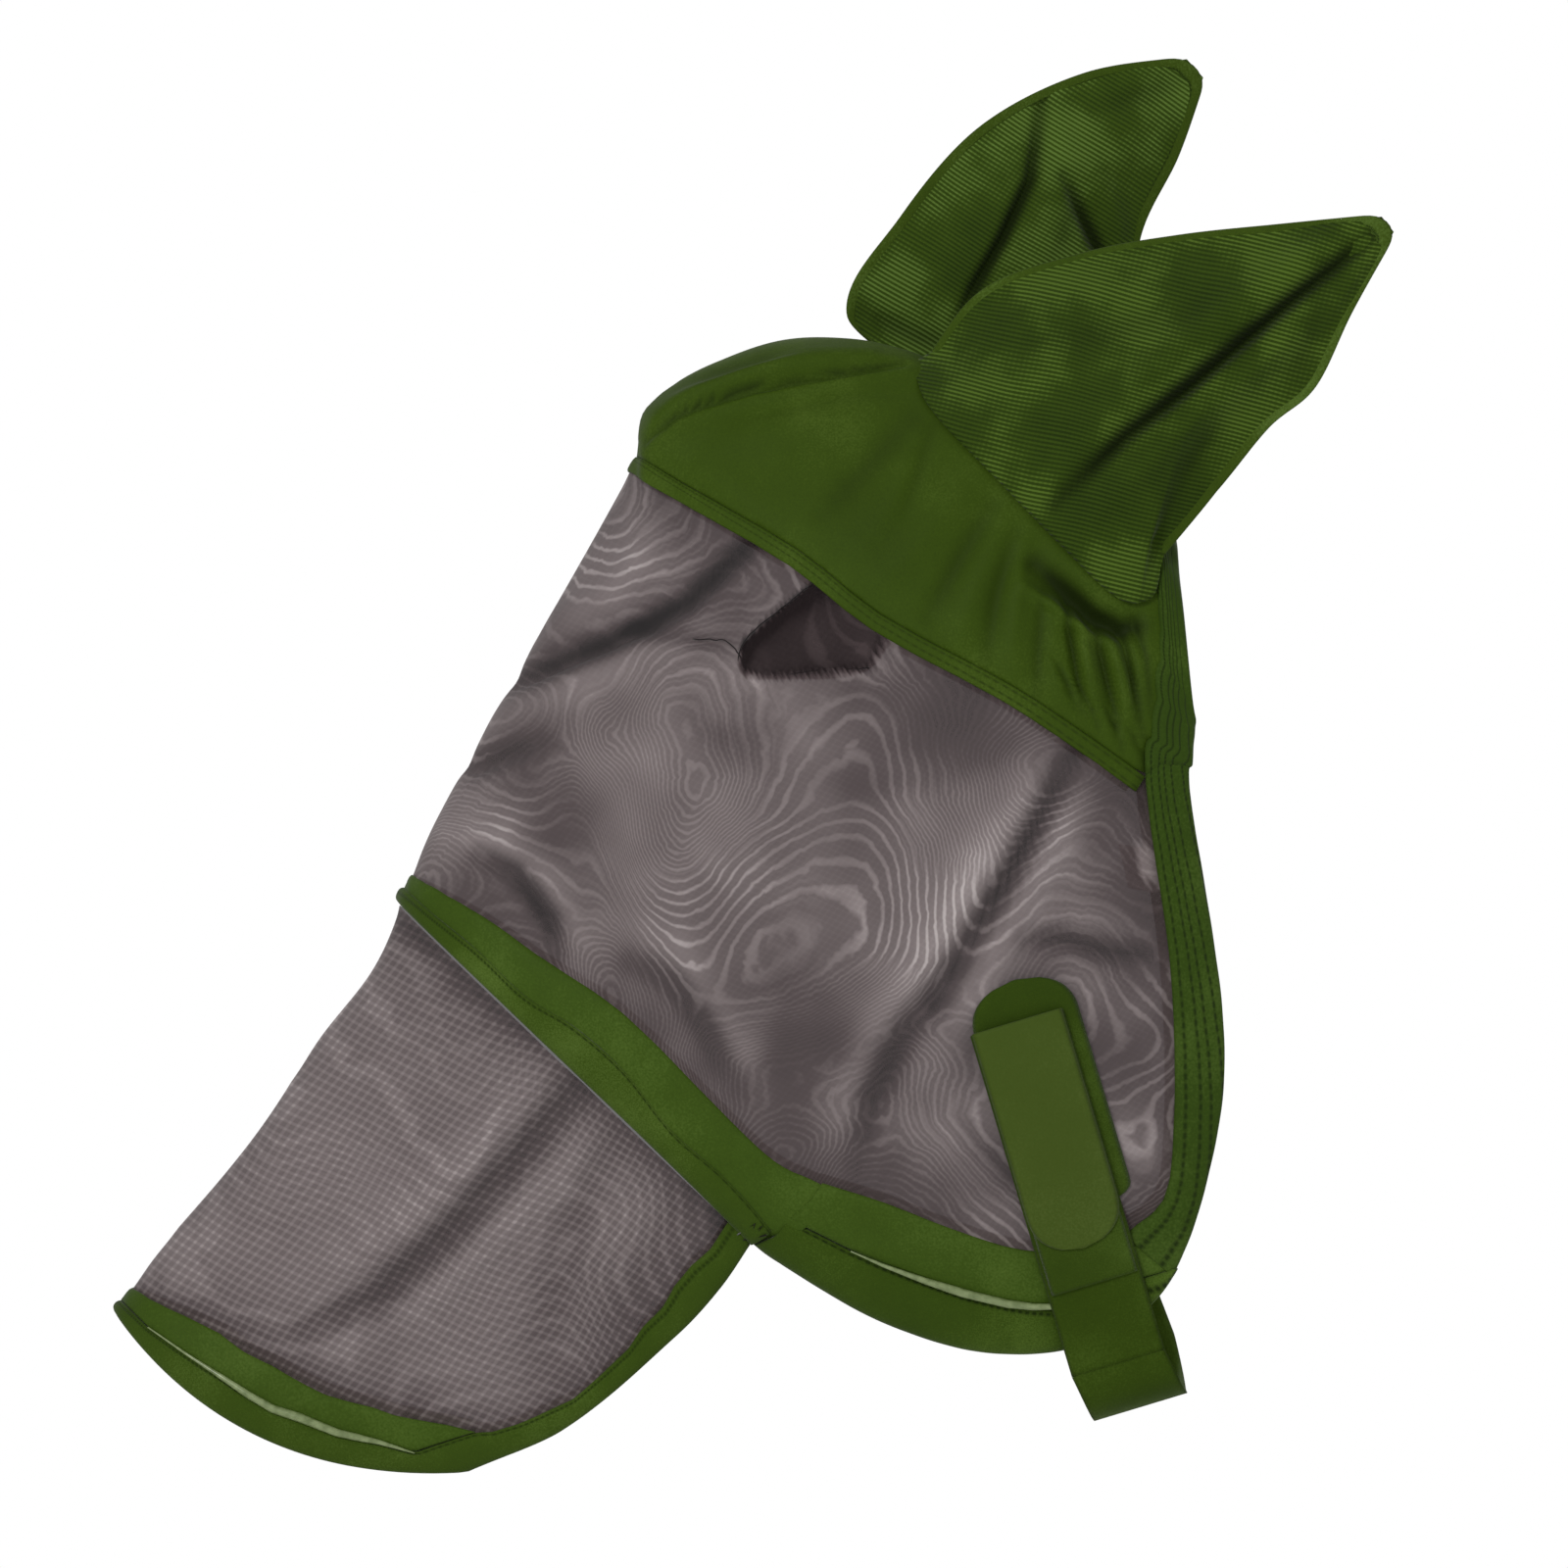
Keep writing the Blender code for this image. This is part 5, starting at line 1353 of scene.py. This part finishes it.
def strap_point(u, v, side, off):
    """Point of a strap layer: over the cheek it follows the head, below it hangs free."""
    u, v, off = np.broadcast_arrays(np.asarray(u, float), np.asarray(v, float), np.asarray(off, float))
    held = np.minimum(v, LEAVES)
    x, z = (STRAP_TOP[k] + u * OVER[k] + held * DOWN[k] for k in (0, 1))
    start = place(x, z, side, off)
    share = np.clip((v - LEAVES) / LEAVE_OVER, 0, 1)
    share = share * share * (3 - 2 * share)
    y = np.abs(start[..., 1]) + (BOW_HALF + off - np.abs(start[..., 1])) * share
    free = v - held
    return np.stack([start[..., 0] + free * DOWN[0], side * y, start[..., 2] + free * DOWN[1]], -1)


def flat_layer(name, half_width, lay, rows, columns=16, round_edge=0.9):
    """A closed flat strip: half_width(along) gives its edge, lay(across, along, upper, ease) its faces."""
    across_part = np.linspace(-1, 1, columns + 1)
    ring = np.r_[across_part, across_part[-2:0:-1], across_part[:1]]
    upper = np.r_[np.ones(columns + 1), np.zeros(columns - 1), 1]
    work = bmesh.new()
    bmesh.ops.create_grid(work, x_segments=len(ring) - 1, y_segments=rows, size=0.5)
    j = np.array([round((v.co.x + 0.5) * (len(ring) - 1)) for v in work.verts])
    w = np.array([round((v.co.y + 0.5) * rows) for v in work.verts]) / rows
    wide = half_width(w)
    side_share = np.abs(ring[j])
    thinned = 1 - ((side_share - round_edge) / (1 - round_edge)) ** 2 * 0.6
    points = lay(ring[j] * wide, w, upper[j], np.where(side_share > round_edge, thinned, 1))
    uv = work.loops.layers.uv.new("cloth")
    work.verts.index_update()
    for v in work.verts:
        v.co = points[v.index] * MM
        for loop in v.link_loops:
            loop[uv].uv = (ring[j[v.index]] * wide[v.index] * MM, w[v.index])
    return closed(name, work)


def strap_layer(
    name, side, v0, v1, low, high, half, rounded=0.0, top_round=0.0, shift=0.0, rows=60, plump=0.0,
):
    """One layer of the strap from v0 to v1 along it, between two heights, with rounded ends."""
    def half_width(w):
        v = v0 + (v1 - v0) * w
        wide = np.full_like(w, half)
        for away, reach in ((v1 - v, rounded), (v - v0, top_round)):
            if reach:
                k = np.clip(1 - away / reach, 0, 1)
                wide = wide - half + half * np.maximum(1 - k**2.6, 0.002) ** 0.5
        return np.maximum(wide, 0.6)

    def lay(u, w, upper, ease):
        v = v0 + (v1 - v0) * w
        mid, deep = (low + high) / 2, (high - low) / 2
        crown = plump * np.maximum(1 - (u / half) ** 4, 0) * np.sin(pi * np.clip(w, 0.02, 0.98)) ** 0.3
        off = np.where(upper > 0, mid + deep * ease + crown, mid - deep * ease)
        return strap_point(u + shift, v, side, off)

    return flat_layer(name, half_width, lay, rows)


pile_finish = knit_finish(
    "loop_pile_fastener", "#24350a", "#34470f", "#495f22", 0.92, 0.08, 1500.0, 0.0012,
)[0]
strap_finish = knit_finish(
    "brushed_nylon_strap", "#253507", "#32450b", "#42571a", 0.85, 0.02, 1100.0, 0.0006,
)[0]
tab_finish = knit_finish(
    "smooth_moulded_hook_tab", "#38490f", "#42531b", "#4e5f27", 0.6, 0.05, 800.0, 0.0003,
)[0]
pad = strap_layer(
    "cheek_pad_pile", NEAR, -20, 106, 0.9, 3.2, 28, rounded=10, top_round=24, shift=5, plump=0.4,
)
pad.data.materials.append(pile_finish)
leg = strap_layer("strap_near_leg_strip", NEAR, 1, BEND, STRAP_LOW, STRAP_HIGH, STRAP_WIDTH / 2)
leg.data.materials.append(strap_finish)
loop_patch = strap_layer("strap_loop_patch_pile", NEAR, 9, 142, 5.6, 6.9, STRAP_WIDTH / 2 - 2, plump=0.2)
loop_patch.data.materials.append(pile_finish)
tab = strap_layer("strap_end_tab_strip", NEAR, 0, 122, TAB_LOW, 8.8, STRAP_WIDTH / 2 - 1, rounded=24)
tab.data.materials.append(tab_finish)
anchor = strap_layer("far_anchor_patch_pile", FAR, 98, 126, 5.6, 6.9, STRAP_WIDTH / 2 - 3, rows=16)
anchor.data.materials.append(pile_finish)


def bow_lay(u, w, upper, ease):
    """The far leg, then the slack bow under the jaw up to the near leg."""
    off = np.where(upper > 0, STRAP_HIGH, STRAP_LOW)
    v = ANCHOR_START + (BEND - ANCHOR_START) * np.minimum(w / LEG_SHARE, 1)
    slide = np.clip(w / LEG_SHARE, 0, 1) * np.clip((1 - w) / (1 - LEG_SHARE), 0, 1)
    straight = strap_point(u + 9.0 * slide**0.7, v, FAR, off)
    angle = pi * np.clip((w - LEG_SHARE) / (1 - LEG_SHARE), 0, 1)
    y = (BOW_HALF + off) * np.sign(np.cos(angle)) * np.abs(np.cos(angle)) ** 0.55
    drop = (STRAP_DROP + off - STRAP_LOW) * np.sin(angle) ** 0.75
    turned = np.stack([straight[..., 0] + DOWN[0] * drop, y, straight[..., 2] + DOWN[1] * drop], -1)
    return np.where((w <= LEG_SHARE)[:, None], straight, turned)


bow = flat_layer("throat_strap_bow_strip", lambda w: np.full_like(w, STRAP_WIDTH / 2), bow_lay, 110)
bow.data.materials.append(strap_finish)
hinge = strap_point(0, BEND, NEAR, STRAP_HIGH) * MM
fold_line = strap_point(0, 0, NEAR, TAB_LOW) * MM
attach(pad, "mask")
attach(bow, "mask")
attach(anchor, "mask")
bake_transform(leg)
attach(loop_patch, "strap_leg")
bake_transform(tab)
for piece, node, slot in (
    (pad, "cheek_pad", "loop_pile"), (leg, "strap_near_leg", "webbing"),
    (loop_patch, "strap_loop_patch", "loop_pile"), (tab, "strap_end_tab", "tab"),
    (bow, "throat_strap_bow", "webbing"), (anchor, "far_anchor_patch", "loop_pile"),
):
    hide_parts(node)

# ---- Care label ----
# A small woven tape label caught in the rear band's seam, inside the near cheek. It is blank here.
label_finish, tree, shader = finish_of("woven_satin_label_tape", "#cdbfb6", 0.6, 0.1)
weave = add(tree, "ShaderNodeTexChecker", {
    "Vector": add(tree, "ShaderNodeTexCoord").outputs["Object"], "Scale": 900.0,
    "Color1": linear("#d8ccc4"), "Color2": linear("#b3a49d"),
})
tree.links.new(weave.outputs["Color"], shader.inputs["Base Color"])
label = band(
    "care_label_tape", line_on_head(flow([(4, -201), (9, -224)])),
    line_on_head(flow([(18, -203), (22, -226)])), over_head, -2.4, -1.6, 12, plump=6,
)
label.data.materials.append(label_finish)
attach(label, "mask")
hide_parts("care_label")
